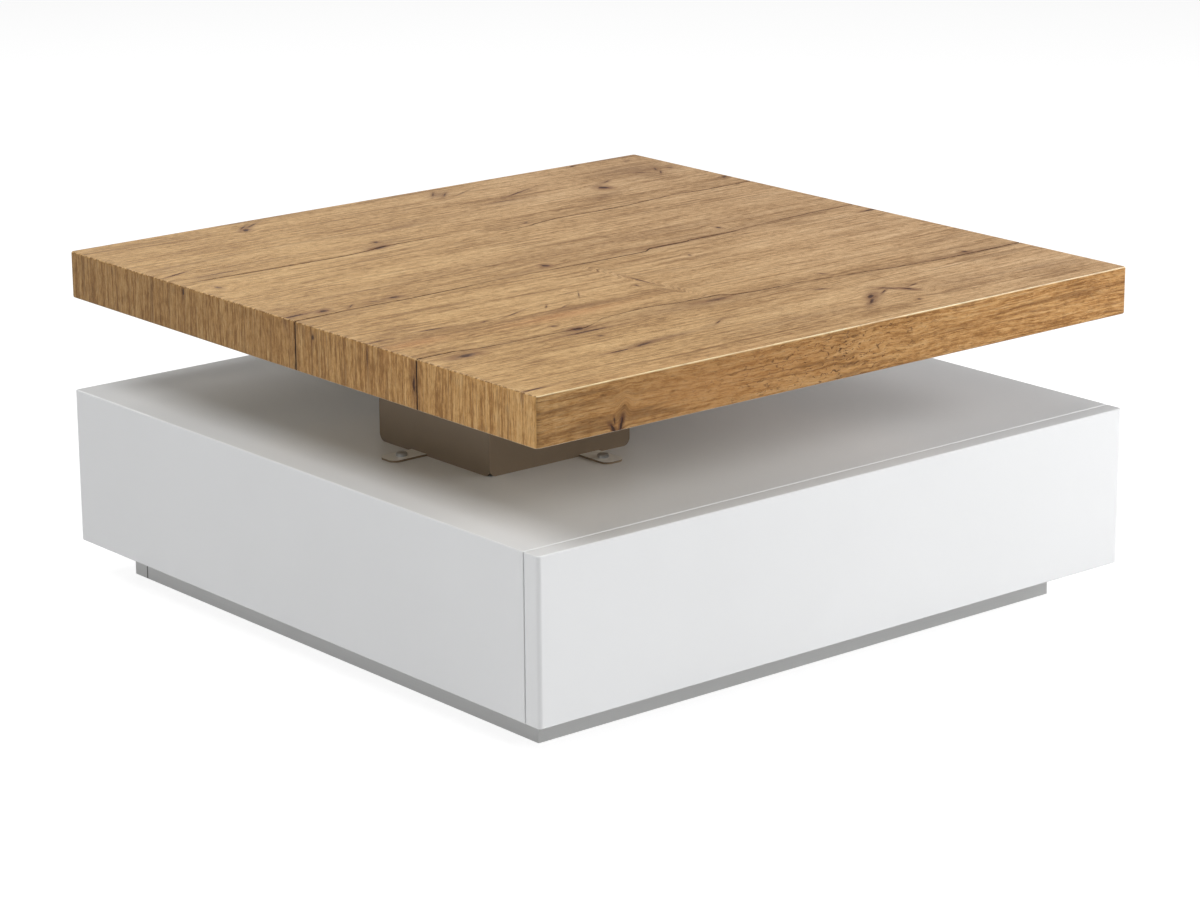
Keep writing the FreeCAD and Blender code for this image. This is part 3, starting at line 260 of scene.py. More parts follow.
def powder_coat():
    """Warm grey satin coat on folded sheet steel, its grey darkened as painted shade, with painted light on
    what faces up.
    """
    g = new_material("pedestal_steel")
    x, y, z = g.coordinates()
    _, _, upward = g.coordinates("Normal")
    skin = g.noise(x * 600, y * 600, z * 600, 2.0)
    cloud = g.noise(x * 18, y * 18, z * 18, 3.0)
    # The warm dark grey stands in for the shade under the board: painted shade
    shade = g.mix(cloud * 0.7 + skin * 0.3, colour(137, 119, 98), colour(152, 134, 113))
    # What faces up is painted nearly white: painted light
    painted_upward_light = g.step(upward, 0.5, 0.9) * (0.7 + cloud * 0.3)
    shade = g.mix(painted_upward_light, shade, colour(252, 250, 244))
    return g.surface(shade, 0.33 + skin * 0.14, g.bump(skin, 0.00006, 0.6), Metallic=0.1)


def metal(name, low, high, rough, scale):
    """Plated steel with fine scratches and a slightly uneven plate."""
    g = new_material(name)
    x, y, z = g.coordinates()
    cloud = g.noise(x * scale, y * scale, z * scale, 4.0)
    scratch = g.noise(x * 2600, y * 180, z * 2600, 2.0)
    shade = g.mix(cloud * 0.7 + scratch * 0.3, low, high)
    rough = rough + cloud * 0.12 + scratch * 0.06
    return g.surface(shade, rough, g.bump(scratch, 0.00002, 0.5), Metallic=1.0)


def plastic(name, low, high, rough):
    """Moulded plastic with a fine spark-eroded skin."""
    g = new_material(name)
    x, y, z = g.coordinates()
    skin = g.noise(x * 1500, y * 1500, z * 1500, 2.0)
    cloud = g.noise(x * 60, y * 60, z * 60, 2.0)
    shade = g.mix(cloud, low, high)
    return g.surface(shade, rough + skin * 0.1, g.bump(skin, 0.00004, 0.6))


# Painted light and painted sheen: what the oak's colour is multiplied by, on the top and on the sides, at the
# board's left and at its right
TOP_PAINTED_LIGHT = ((1.35, 1.31, 1.16, 1.0), (1.38, 1.39, 1.55, 1.0))
SIDE_PAINTED_LIGHT = ((0.91, 0.87, 0.75, 1.0), (1.17, 1.05, 0.88, 1.0))
# Where along the board the left's painted light passes into the right's
PAINTED_LIGHT_SPAN = (-0.45, 0.45)
# Painted light: what the left end's near part is multiplied by as well, and where across the board that fades
# out
NEAR_END_PAINTED_LIGHT = (1.44, 1.43, 1.39, 1.0)
NEAR_END_SPAN = (-0.42, 0.20)


# In the oak, a number added to w takes a noise from another slice, so that like noises don't coincide
def wavering(g, u, v, w, burl):
    """The place across the grain, which drifts, ripples and curls along the board."""
    drift = g.noise(u * 4.5, v * 16, w, 2.0) - 0.5
    ripple = g.noise(u * 20, v * 55, w + 2, 2.0) - 0.5
    curl = g.noise(u * 75, v * 90, w + 4, 2.0) - 0.5
    return v + drift * 0.012 + ripple * 0.0022 + curl * (burl * 0.006 + 0.0005)


def oak_figure(g, u, v, w, tone, side):
    """The wood's colour along its grain, with the three noises that its marks and its relief share."""
    wide = g.noise(u * 1.6, v * 19, w + 3, 2.0) - 0.5
    middle = g.noise(u * 4, v * 75, w + 5, 3.0) - 0.5
    streak = g.noise(u * 9, v * 210, w + 7, 4.0, 0.7) - 0.5
    fine = g.noise(u * 30, v * 700, w + 11, 2.0, 0.6) - 0.5
    cloud = g.noise(u * 14, v * 22, w + 13, 3.0) - 0.5
    grit = g.noise(u * 90, v * 210, w + 37, 3.0, 0.75) - 0.5
    dense = 1.0 + side * 1.2
    light = 0.5 + wide * 0.28 + middle * 0.30 + cloud * 0.22 + tone * 0.035
    light = light + dense * (streak * 0.72 + fine * 0.50 + grit * 0.55)
    shade = g.ramp(
        light,
        (0.20, colour(108, 78, 48)),
        (0.38, colour(154, 120, 80)),
        (0.52, colour(182, 148, 105)),
        (0.68, colour(197, 165, 121)),
        (0.90, colour(211, 184, 145)),
    )
    return shade, middle, streak, fine


def knot_masks(g, u, v, w):
    """Where a knot's dark core lies, and its halo."""
    knot_u, knot_v, power = g.carried("knot")
    ragged = g.noise(u * 210, v * 420, w, 4.0, 0.7) - 0.5
    reach = (knot_u * knot_u + knot_v * knot_v) ** 0.5 + ragged * 2.2
    core = (1.0 - g.step(reach, 0.3, 1.2)) * power
    halo = (1.0 - g.step(reach, 0.6, 3.4)) * power
    return core, halo


def crack_masks(g, u, v, w, away, power):
    """Where a crack's broken line lies, and the darker wood beside it; away is in millimetres."""
    broken = g.step(g.noise(u * 45, v * 30, w + 23, 3.0, 0.6), 0.30, 0.50)
    gap = abs(away + (g.noise(u * 130, w + 1, w, 2.0) - 0.5) * 1.2)
    line = (1.0 - g.step(gap, 0.35, 1.3)) * power * (0.55 + broken * 0.45)
    beside = (1.0 - g.step(gap, 0.8, 6.0)) * power
    return line, beside


def with_painted_light(g, u, v, side, shade):
    """Painted light on the wood's colour, which differs between top, sides and the left end's near part, and
    from left to right.
    """
    rightward = g.step(u, *PAINTED_LIGHT_SPAN)
    painted_light = g.mix(side, g.mix(rightward, *TOP_PAINTED_LIGHT), g.mix(rightward, *SIDE_PAINTED_LIGHT))
    shade = g.mix(1.0, shade, painted_light, "MULTIPLY", clamped=True)
    # Unfolded, the left end lies beyond -HALF
    left_end = 1.0 - g.step(u, -HALF - 0.6 * MM, -HALF - 0.2 * MM)
    near_end = left_end * (1.0 - g.step(v, *NEAR_END_SPAN))
    return g.mix(near_end, shade, NEAR_END_PAINTED_LIGHT, "MULTIPLY")


def oak():
    """Oiled oak: grain, stains, pores, knots and cracks at the places that the board's mesh carries."""
    g = new_material("oak")
    u, v, w = g.carried("grain")
    away, crack_power, rim = g.carried("crack")
    tone, stain, ruddy = g.carried("tone")
    burl, under, side = g.carried("kind")
    v = wavering(g, u, v, w, burl)

    shade, middle, streak, fine = oak_figure(g, u, v, w, tone, side)
    shade = g.mix(ruddy * 0.45, shade, colour(176, 122, 80))
    shade = g.mix(side * 0.40, shade, colour(184, 134, 72))
    growth = abs(g.noise(u * 3.2, v * 120, w + 29, 1.0, 0.4) - 0.5)
    hair = (1.0 - g.step(growth, 0.003, 0.045)) * g.step(g.noise(u * 7, v * 30, w + 31, 2.0), 0.38, 0.58)
    shade = g.mix(hair * 0.50, shade, colour(108, 74, 42))
    smudge = g.clamped(stain * (0.75 + middle * 1.6 + streak * 1.8))
    shade = g.mix(smudge * 0.78, shade, colour(98, 66, 46))
    pore = g.step(g.noise(u * 85, v * 2600, w + 17, 1.0), 0.60, 0.68)
    shade = g.mix(pore * 0.40, shade, colour(98, 66, 40))
    fleck = g.step(g.noise(u * 130, v * 330, w + 19, 2.0, 0.6, 1.4), 0.59, 0.66)
    shade = g.mix(fleck * (burl * 0.75 + 0.12), shade, colour(86, 54, 32))

    core, halo = knot_masks(g, u, v, w)
    shade = g.mix(g.clamped(halo * (0.50 + streak * 2.4)), shade, colour(108, 72, 48))
    shade = g.mix(g.clamped(core * 1.1), shade, colour(66, 42, 30))
    line, beside = crack_masks(g, u, v, w, away, crack_power)
    shade = g.mix(g.clamped(beside * 0.30), shade, colour(104, 70, 46))
    shade = g.mix(g.clamped(line * 1.4), shade, colour(42, 27, 20))

    # Long edges are pale, partly wear and partly a painted highlight; at the ends the growth rings show as
    # light and dark teeth
    wear_and_painted_highlight = g.clamped(rim * (0.80 + streak * 2.4))
    shade = g.mix(wear_and_painted_highlight * 0.90, shade, colour(252, 236, 202))
    teeth = g.step(g.noise(u * 20, v * 330, w + 41, 1.0), 0.42, 0.58)
    tooth = g.mix(teeth, colour(118, 84, 50), colour(212, 178, 130))
    shade = g.mix(g.clamped(0.0 - rim) * 0.7, shade, tooth)
    # The underside has a pale backing sheet
    shade = g.mix(under * 0.75, shade, colour(188, 184, 176))
    # Painted light: the top paler, the colour shifting from left to right, and the left end's near part
    # lighter
    shade = with_painted_light(g, u, v, side, shade)

    rough = 0.46 + streak * 0.12 + pore * 0.15 + line * 0.2 - wear_and_painted_highlight * 0.12
    relief = streak * 0.6 + fine * 0.9 - pore * 0.8 - core * 0.8 - fleck * burl - hair * 0.3
    return g.surface(shade, rough, g.bump(relief, 0.0004, 0.8), IOR=1.38)


def materials():
    """Each slot's material, by the slot's name."""
    return {
        "oak": oak(),
        "white_lacquer": lacquer(),
        "silver_plinth": silver_foil(),
        "drawer_box": melamine(),
        "plain_wood": beech(),
        "pedestal_steel": powder_coat(),
        "zinc_steel": metal("zinc_steel", colour(176, 180, 186), colour(206, 208, 210), 0.24, 90),
        "ball_steel": metal("ball_steel", colour(214, 214, 216), colour(226, 226, 226), 0.08, 60),
        "nylon": plastic("nylon", colour(222, 219, 208), colour(236, 233, 224), 0.42),
        "latch_plastic": plastic("latch_plastic", colour(140, 142, 145), colour(158, 160, 163), 0.4),
    }


MATERIALS = materials()
for part in frame["record"]["subparts"]:
    slots = frame["nodes"][part["node"]].data.materials
    slots.clear()
    slots.append(MATERIALS[part["material_slot"]])


# Grain marks of the board, read off the photograph, in metres from the board's middle. Places beyond the
# edge lie on the board's ends and sides, unfolded.
# A knot or a check is its place, half length, half width, slope and strength.
KNOTS = (
    (-0.1860, 0.3365, 0.0045, 0.0040, 0.4, 1.4),
    (-0.1800, 0.3500, 0.0060, 0.0015, 0.8, 0.9),
    (-0.1680, 0.3520, 0.0100, 0.0016, 0.6, 0.8),
    (0.0680, 0.3500, 0.0060, 0.0018, 1.2, 0.7),
    (0.0770, 0.3410, 0.0070, 0.0018, 1.0, 0.7),
    (0.0975, 0.3360, 0.0140, 0.0010, 0.5, 0.6),
    (0.1400, 0.2955, 0.0160, 0.0012, 0.4, 1.0),
    (0.1050, 0.2725, 0.0220, 0.0016, 0.0, 0.7),
    (0.2300, 0.2563, 0.0055, 0.0060, 0.0, 1.4),
    (0.2525, 0.2780, 0.0060, 0.0018, 0.5, 0.7),
    (0.3125, 0.2900, 0.0050, 0.0018, -0.8, 0.8),
    (0.3310, 0.2780, 0.0050, 0.0018, 1.2, 0.8),
    (0.3375, 0.2950, 0.0040, 0.0030, 1.5, 0.7),
    (0.3550, 0.2900, 0.0040, 0.0030, 0.0, 0.6),
    (0.2775, 0.3675, 0.0050, 0.0018, 0.3, 1.0),
    (0.3425, 0.3500, 0.0050, 0.0020, 0.0, 0.6),
    (0.3670, 0.2125, 0.0050, 0.0030, 0.6, 0.8),
    (-0.3525, 0.2160, 0.0110, 0.0010, 0.3, 1.3),
    (-0.3120, 0.1923, 0.0220, 0.0010, 0.0, 0.8),
    (-0.1183, 0.2027, 0.0030, 0.0030, 0.3, 1.1),
    (-0.1285, 0.1805, 0.0090, 0.0038, 0.15, 1.2),
    (0.0545, 0.1733, 0.0040, 0.0022, 0.2, 0.8),
    (-0.3517, 0.1433, 0.0030, 0.0060, 0.0, 0.7),
    (-0.0550, 0.0065, 0.0040, 0.0038, 0.0, 1.3),
    (0.1900, 0.0240, 0.0025, 0.0040, 0.0, 0.9),
    (-0.3630, 0.0000, 0.0120, 0.0022, 0.1, 1.1),
    (-0.3317, -0.0017, 0.0045, 0.0036, 0.2, 1.3),
    (-0.3000, -0.0030, 0.0040, 0.0012, 0.8, 0.8),
    (-0.2720, -0.0030, 0.0050, 0.0012, -0.4, 0.8),
    (-0.2480, -0.0015, 0.0060, 0.0028, 0.0, 1.1),
    (0.0985, -0.0030, 0.0240, 0.0016, 0.0, 1.1),
    (0.1600, -0.0005, 0.0220, 0.0012, 0.0, 0.9),
    (0.3660, -0.0185, 0.0090, 0.0022, 0.0, 1.3),
    (0.0840, -0.0520, 0.0030, 0.0035, 1.0, 0.5),
    (-0.0250, -0.1030, 0.0012, 0.0150, 0.0, 1.0),
    (-0.0410, -0.1170, 0.0020, 0.0034, 0.0, 0.8),
    (-0.2033, -0.1290, 0.0110, 0.0009, 0.35, 1.0),
    (-0.1617, -0.1267, 0.0030, 0.0010, 1.0, 1.0),
    (-0.1490, -0.1380, 0.0060, 0.0009, 0.5, 0.8),
    (-0.1080, -0.1100, 0.0060, 0.0010, 1.3, 0.7),
    (-0.2430, -0.1350, 0.0030, 0.0012, 0.3, 0.8),
    (-0.2985, -0.1265, 0.0130, 0.0013, -0.08, 1.1),
    (-0.3640, -0.1300, 0.0100, 0.0010, 0.1, 0.9),
    (-0.2050, -0.1905, 0.0030, 0.0020, 0.0, 1.0),
    (-0.1945, -0.2133, 0.0075, 0.0042, 0.1, 1.4),
    (-0.1930, -0.2265, 0.0260, 0.0018, 0.0, 1.0),
    (-0.3330, -0.2233, 0.0120, 0.0050, 0.1, 0.9),
    (-0.0225, -0.2115, 0.0140, 0.0040, 0.0, 0.6),
    (-0.1950, -0.2467, 0.0040, 0.0030, 0.0, 0.6),
    (0.1275, -0.2000, 0.0030, 0.0034, -0.5, 0.6),
    (0.3015, -0.2230, 0.0036, 0.0036, 0.0, 1.0),
    (0.0825, -0.2463, 0.0060, 0.0025, -0.5, 0.8),
    (-0.2185, -0.3017, 0.0130, 0.0013, 0.0, 1.1),
    (-0.1860, -0.2970, 0.0120, 0.0030, 0.2, 0.8),
    (-0.0790, -0.2790, 0.0050, 0.0010, 0.6, 0.9),
    (0.0975, -0.2990, 0.0070, 0.0040, 0.7, 1.1),
    (0.0850, -0.3135, 0.0100, 0.0025, 0.8, 0.9),
    (0.1210, -0.2930, 0.0060, 0.0012, 0.6, 1.0),
    (0.1330, -0.2850, 0.0060, 0.0030, -1.0, 0.8),
    (0.1465, -0.3010, 0.0040, 0.0048, -1.0, 1.1),
    (0.1630, -0.2910, 0.0080, 0.0013, 0.25, 1.0),
    (0.1250, -0.3375, 0.0020, 0.0020, 0.0, 1.0),
    (-0.3610, -0.3550, 0.0130, 0.0012, 0.05, 1.2),
    (-0.2885, -0.4193, 0.0030, 0.0022, -1.1, 1.8),
    (-0.2788, -0.4171, 0.0022, 0.0044, 1.8, 1.8),
    (-0.2870, -0.4128, 0.0009, 0.0028, 0.0, 1.4),
    (-0.3995, -0.2000, 0.0090, 0.0022, 0.0, 1.0),
    (-0.3810, 0.1700, 0.0060, 0.0015, 0.0, 1.0),
    (-0.3850, -0.0450, 0.0030, 0.0025, 0.0, 0.8),
    (-0.3870, -0.1300, 0.0090, 0.0010, 0.0, 0.7),
)
# A crack is the places that it runs through along the board, with its strength at each.
CRACKS = (
    (
        (-0.3750, 0.1785, 0.0), (-0.3320, 0.1777, 0.9), (-0.2750, 0.1760, 1.0), (-0.2080, 0.1743, 1.0),
        (-0.1750, 0.1737, 1.0), (-0.1480, 0.1767, 1.0), (-0.1250, 0.1822, 1.0), (-0.0980, 0.1833, 0.9),
        (-0.0600, 0.1820, 0.5), (-0.0300, 0.1770, 0.0), (0.0000, 0.1620, 0.0), (0.0150, 0.1580, 0.3),
        (0.0500, 0.1605, 0.8), (0.0600, 0.1640, 1.0), (0.0950, 0.1705, 0.8), (0.1500, 0.1688, 0.7),
        (0.1900, 0.1700, 0.8), (0.2650, 0.1793, 0.7), (0.3050, 0.1757, 0.8), (0.3300, 0.1765, 1.0),
        (0.3750, 0.1763, 0.7),
    ),
    (
        (-0.3750, -0.0167, 1.0), (-0.3080, -0.0133, 0.8), (-0.2420, -0.0150, 0.9), (-0.2020, -0.0133, 0.8),
        (-0.1680, -0.0117, 0.7), (-0.1350, -0.0095, 0.4), (-0.0850, -0.0100, 0.4), (-0.0420, -0.0100, 0.8),
        (-0.0080, -0.0110, 1.0), (0.0625, -0.0105, 0.9), (0.0720, -0.0035, 1.0), (0.1240, -0.0030, 1.0),
        (0.1280, -0.0005, 0.9), (0.1850, 0.0000, 0.9), (0.2000, 0.0030, 0.4), (0.2300, 0.0065, 0.4),
        (0.3100, 0.0135, 0.7), (0.3750, 0.0145, 0.5),
    ),
    (
        (-0.3750, -0.2043, 1.0), (-0.3320, -0.2040, 1.0), (-0.3080, -0.2100, 0.7), (-0.2750, -0.2117, 0.5),
        (-0.2180, -0.2117, 0.7), (-0.1850, -0.2135, 0.8), (-0.1650, -0.2050, 0.1), (-0.1500, -0.1960, 0.4),
        (-0.0920, -0.1907, 0.6), (-0.0550, -0.1973, 0.8), (-0.0080, -0.1983, 0.9), (0.0050, -0.2073, 0.9),
        (0.0420, -0.2117, 0.8), (0.0820, -0.2105, 0.8), (0.1000, -0.2130, 0.2), (0.1350, -0.2180, 0.6),
        (0.1750, -0.2213, 0.8), (0.2000, -0.2263, 0.8), (0.2500, -0.2300, 0.6), (0.3000, -0.2313, 1.0),
        (0.3750, -0.2300, 1.0),
    ),
)
# A stain is its place, half length, half width, slope and strength.
STAINS = (
    (-0.172, 0.374, 0.020, 0.004, 0.00, 1.00),
    (-0.173, 0.352, 0.018, 0.007, 0.60, 0.60),
    (-0.250, 0.355, 0.025, 0.004, -0.05, 0.50),
    (0.071, 0.345, 0.014, 0.014, 0.30, 0.70),
    (0.140, 0.292, 0.040, 0.008, 0.30, 0.40),
    (0.110, 0.268, 0.040, 0.006, 0.00, 0.35),
    (0.245, 0.277, 0.030, 0.006, 0.50, 0.50),
    (0.320, 0.303, 0.045, 0.028, 0.00, 0.55),
    (0.315, 0.283, 0.050, 0.008, 0.15, 0.50),
    (0.335, 0.371, 0.035, 0.003, 0.00, 0.90),
    (-0.150, 0.252, 0.100, 0.003, -0.03, 0.50),
    (-0.065, 0.241, 0.045, 0.005, 0.00, 0.90),
    (-0.020, 0.257, 0.040, 0.003, 0.00, 0.50),
    (-0.355, 0.237, 0.022, 0.005, -0.10, 0.50),
    (-0.332, 0.188, 0.018, 0.009, 0.00, 0.60),
    (-0.118, 0.195, 0.035, 0.010, 0.20, 0.45),
    (-0.250, 0.208, 0.080, 0.004, -0.05, 0.35),
    (0.200, 0.220, 0.030, 0.009, 0.30, 0.50),
    (0.000, 0.045, 0.300, 0.020, 0.00, 0.30),
    (-0.300, 0.040, 0.080, 0.004, 0.00, 0.50),
    (-0.260, -0.006, 0.060, 0.009, 0.00, 0.45),
    (-0.345, -0.002, 0.030, 0.007, 0.00, 0.50),
    (-0.090, -0.004, 0.050, 0.005, 0.05, 0.50),
    (0.150, 0.005, 0.200, 0.016, 0.02, 0.35),
    (-0.330, -0.145, 0.080, 0.020, 0.00, 0.25),
    (-0.165, -0.150, 0.100, 0.005, 0.00, 0.40),
    (-0.050, -0.213, 0.120, 0.016, 0.00, 0.50),
    (-0.190, -0.219, 0.035, 0.009, 0.00, 0.60),
    (-0.333, -0.222, 0.025, 0.009, 0.05, 0.60),
    (-0.280, -0.211, 0.050, 0.005, 0.00, 0.50),
    (0.280, -0.227, 0.120, 0.007, -0.04, 0.60),
    (-0.165, -0.294, 0.060, 0.006, 0.08, 0.85),
    (-0.090, -0.284, 0.025, 0.005, 0.40, 0.50),
    (-0.020, -0.320, 0.090, 0.012, 0.00, 0.35),
    (0.098, -0.305, 0.030, 0.009, 0.75, 0.90),
    (0.137, -0.290, 0.016, 0.009, -1.00, 0.90),
    (0.200, -0.305, 0.060, 0.020, 0.00, 0.30),
    (0.330, -0.322, 0.050, 0.015, -0.10, 0.30),
)
# A ruddy patch is its place, half length and half width.
RUDDY = (
    (-0.170, -0.163, 0.070, 0.012),
    (-0.340, -0.158, 0.040, 0.010),
    (-0.180, -0.400, 0.160, 0.030),
    (-0.284, -0.4165, 0.010, 0.007),
)
# How light the wood is at places across the planks.
TONES = (
    (-0.425, 0.0), (-0.375, 0.1), (-0.297, 0.1), (-0.250, 0.6), (-0.208, -0.7), (-0.147, -0.5), (-0.102, 0.7),
    (-0.041, 0.6), (0.005, -0.5), (0.050, -0.4), (0.111, 0.7), (0.162, 0.1), (0.202, -0.5), (0.262, 0.1),
    (0.343, 0.0), (0.375, -0.3),
)


# The board's sides, as box_lattice numbers them
LEFT_END, RIGHT_END, FRONT, BACK, UNDERSIDE, TOP = range(6)
CORNER_ROUND = 4 * MM
EDGE_ROUND = 2 * MM
# How far apart the lines of the board's mesh are, and into how many layers its sides are cut between their
# rounded edges. With closer columns, its STL would have too many faces.
COLUMN_STEP = 4.2 * MM
ROW_STEP = 4 * MM
LAYERS = 10
EDGE_STEPS = (0, 0.5 * MM, MM, 1.5 * MM, EDGE_ROUND)
# Each crack has a band of close mesh rows, here in millimetres from its middle. It is laid out straight at
# CRACK_ROWS and then bent along the crack, and the rows beside it follow less and less.
CRACK_ROWS = (0.1740, -0.0060, -0.2110)
CRACK_BAND = 3 * MM
CRACK_BAND_ROWS = (-3, -1.8, -1, -0.45, 0, 0.45, 1, 1.8, 3)
CRACK_BAND_CLEARANCE = 4.5 * MM
CRACK_FOLLOWED = 45 * MM
# A crack's groove: its full depth, and the share of that at some places, in millimetres from its middle
CRACK_DEPTH = 0.9 * MM
GROOVE_PLACES = (0, 0.45, 1.0, 1.8)
GROOVE_SHARES = (1, 0.6, 0.15, 0)
# How near the underside and the long sides a groove stops
SHUT_MARGIN = 0.5 * MM
# Past this many millimetres no crack is looked for
FAR_FROM_CRACKS = 99.0
# How far the pale rim (wear and a painted highlight) or the toothed rim reaches from an edge of the top, in
# millimetres
RIM = 1.3
# From what half width a knot turns the grain aside, by what share, and how many of its own sizes away
TURNING_KNOT = 0.0035
KNOT_TURN = 0.8
KNOT_TURN_REACH = 3.5
# The burl in the board's front edge: its middle and its half length
BURL_MIDDLE = -0.02
BURL_REACH = 0.20
# Sets the underside's noise apart from the top's
UNDERSIDE_GRAIN = 5.0
# What a length is held above where it divides, and how near to a face counts as on it
ZERO_LENGTH = 1e-9
ON_FACE = 1e-7


def placed(name, data):
    """A new object of the scene that holds the given mesh, light or camera."""
    made = bpy.data.objects.new(name, data)
    bpy.context.scene.collection.objects.link(made)
    return made


def smooth_mesh(name, points, faces, material):
    mesh = bpy.data.meshes.new(name)
    mesh.from_pydata(points, [], faces)
    mesh.shade_smooth()
    mesh.materials.append(material)
    return mesh


def grid_lines(step, rows=()):
    """Places of the board's mesh lines, close at its rounded ends and at each crack's row."""
    ends = (*EDGE_STEPS, (EDGE_ROUND + CORNER_ROUND) / 2, CORNER_ROUND)
    places = [HALF - end for end in ends] + [end - HALF for end in ends]
    places += [row + offset * MM for row in rows for offset in CRACK_BAND_ROWS]
    inner = HALF - CORNER_ROUND
    count = round(2 * inner / step)
    for number in range(1, count):
        place = -inner + 2 * inner * number / count
        if all(abs(place - row) > CRACK_BAND_CLEARANCE for row in rows):
            places.append(place)
    return np.array(sorted(places))


def crack_course(number, x):
    """Where a crack runs at each x, and how strong it is there."""
    stations = np.array(CRACKS[number])
    return np.interp(x, stations[:, 0], stations[:, 1]), np.interp(x, stations[:, 0], stations[:, 2])


def follow_cracks(x, y):
    """Bend the grid's rows so that each crack's rows lie along it."""
    moved = y.copy()
    for number, row in enumerate(CRACK_ROWS):
        course, _ = crack_course(number, x)
        hold = np.clip(1 - (np.abs(y - row) - CRACK_BAND) / CRACK_FOLLOWED, 0, 1)
        moved += hold * (course - row)
    return moved


def nearest_crack(x, y):
    """The distance to the nearest crack, in millimetres, and that crack's strength."""
    distance, strength = np.full(x.shape, FAR_FROM_CRACKS), np.zeros(x.shape)
    for number in range(len(CRACKS)):
        course, power = crack_course(number, x)
        nearer = np.abs(y - course) / MM < np.abs(distance)
        distance = np.where(nearer, (y - course) / MM, distance)
        strength = np.where(nearer, power, strength)
    return distance, strength


def rounded_slab(x, y, z):
    """Places and normals on a slab with rounded corners and edges, from places on its box."""
    flat = np.stack((x, y), -1)
    centre = np.clip(flat, CORNER_ROUND - HALF, HALF - CORNER_ROUND)
    offset = flat - centre
    reach = np.abs(offset).max(-1)
    length = np.linalg.norm(offset, axis=-1)
    outward = offset / np.maximum(length, ZERO_LENGTH)[:, None]
    middle = (BOARD_LOW.z + BOARD_HIGH.z) / 2
    above = np.where(z > middle, 1.0, -1.0)
    depth = (BOARD_HIGH.z - BOARD_LOW.z) / 2 - np.abs(z - middle)
    inset = CORNER_ROUND - reach
    lying = depth < ON_FACE
    turn = np.where(lying, 0.5 + 0.5 * inset / EDGE_ROUND, 0.5 - 0.5 * depth / EDGE_ROUND)
    angle = np.clip(turn, 0, 1) * math.pi / 2
    radius = np.where(lying & (inset > EDGE_ROUND), reach, CORNER_ROUND - EDGE_ROUND * (1 - np.cos(angle)))
    height = np.where(lying | (depth < EDGE_ROUND), EDGE_ROUND * (1 - np.sin(angle)), depth)
    place = np.column_stack((centre + outward * radius[:, None], z))
    place[:, 2] = np.where(above > 0, BOARD_HIGH.z - height, BOARD_LOW.z + height)
    normal = np.column_stack((outward * np.cos(angle)[:, None], above * np.sin(angle)))
    return place, normal


def box_lattice(xs, ys, zs):
    """The points and quads of a box's surface, cut along the given lines, with each quad's side."""
    counts = (len(xs), len(ys), len(zs))
    shell = np.zeros(counts, bool)
    shell[[0, -1]] = shell[:, [0, -1]] = shell[:, :, [0, -1]] = True
    numbers = np.full(counts, -1)
    numbers[shell] = np.arange(shell.sum())
    i, j, k = np.nonzero(shell)
    quads, sides = [], []
    for axis in range(3):
        for end in (0, -1):
            face = np.take(numbers, end, axis)
            ring = (face[:-1, :-1], face[1:, :-1], face[1:, 1:], face[:-1, 1:])
            corners = np.stack(ring, -1).reshape(-1, 4)
            if (end == 0) != (axis == 1):
                corners = corners[:, ::-1]
            quads.append(corners)
            sides.append(np.full(len(corners), 2 * axis + (end == -1)))
    return xs[i], ys[j], zs[k], np.concatenate(quads), np.concatenate(sides)


def unfolded(x, y, z, side):
    """Grain coordinates: the top's own x and y, carried on down the ends and sides."""
    depth = BOARD_HIGH.z - z
    u = np.where(side == LEFT_END, -HALF - depth, np.where(side == RIGHT_END, HALF + depth, x))
    v = np.where(side == FRONT, -HALF - depth, np.where(side == BACK, HALF + depth, y))
    return u, v


def mark_axes(u, v, mark):
    """Places along and across a long mark, in its half lengths and half widths."""
    place_u, place_v, long, wide, slope, _ = mark
    return (u - place_u) / long, (v - place_v - slope * (u - place_u)) / wide


def spot(u, v, mark):
    """1 at the middle of a long soft mark, to 0 outside it."""
    along, across = mark_axes(u, v, mark)
    return np.exp(-(along**2 + across**2))


def nearest_knot(u, v):
    """Each corner's place in the knot nearest its quad, and that knot's strength."""
    middles = [place.reshape(-1, 4).mean(1)[:, None] for place in (u, v)]
    knots = np.array(KNOTS)
    chosen = knots[np.hypot(*mark_axes(*middles, knots.T)).argmin(1)].repeat(4, 0)
    return (*mark_axes(u, v, chosen.T), chosen[:, 5])


def turned_aside(u, v):
    """The place across the grain at each corner, where the grain flows round the wide knots."""
    flow = v.copy()
    for mark in KNOTS:
        _, place_v, _, wide, _, _ = mark
        if wide >= TURNING_KNOT:
            along, across = mark_axes(u, v, mark)
            near = np.exp(-((along / KNOT_TURN_REACH) ** 2 + (across / KNOT_TURN_REACH) ** 2))
            flow -= (v - place_v) * KNOT_TURN * near
    return flow


def rim_marks(x, y, z, side):
    """How near a corner is to an edge of the top: up to 1 at the long edges, down to -1 at the ends."""
    top = side == TOP
    below = BOARD_HIGH.z - z
    inset_long = np.where(top, HALF - np.abs(y), below)
    inset_end = np.where(top, HALF - np.abs(x), below)
    long = np.clip(RIM - inset_long / MM, 0, 1) * (top | (side == FRONT) | (side == BACK))
    end = np.clip(RIM - inset_end / MM, 0, 1) * (top | (side == LEFT_END) | (side == RIGHT_END))
    return np.where(long > 0, long, -end)


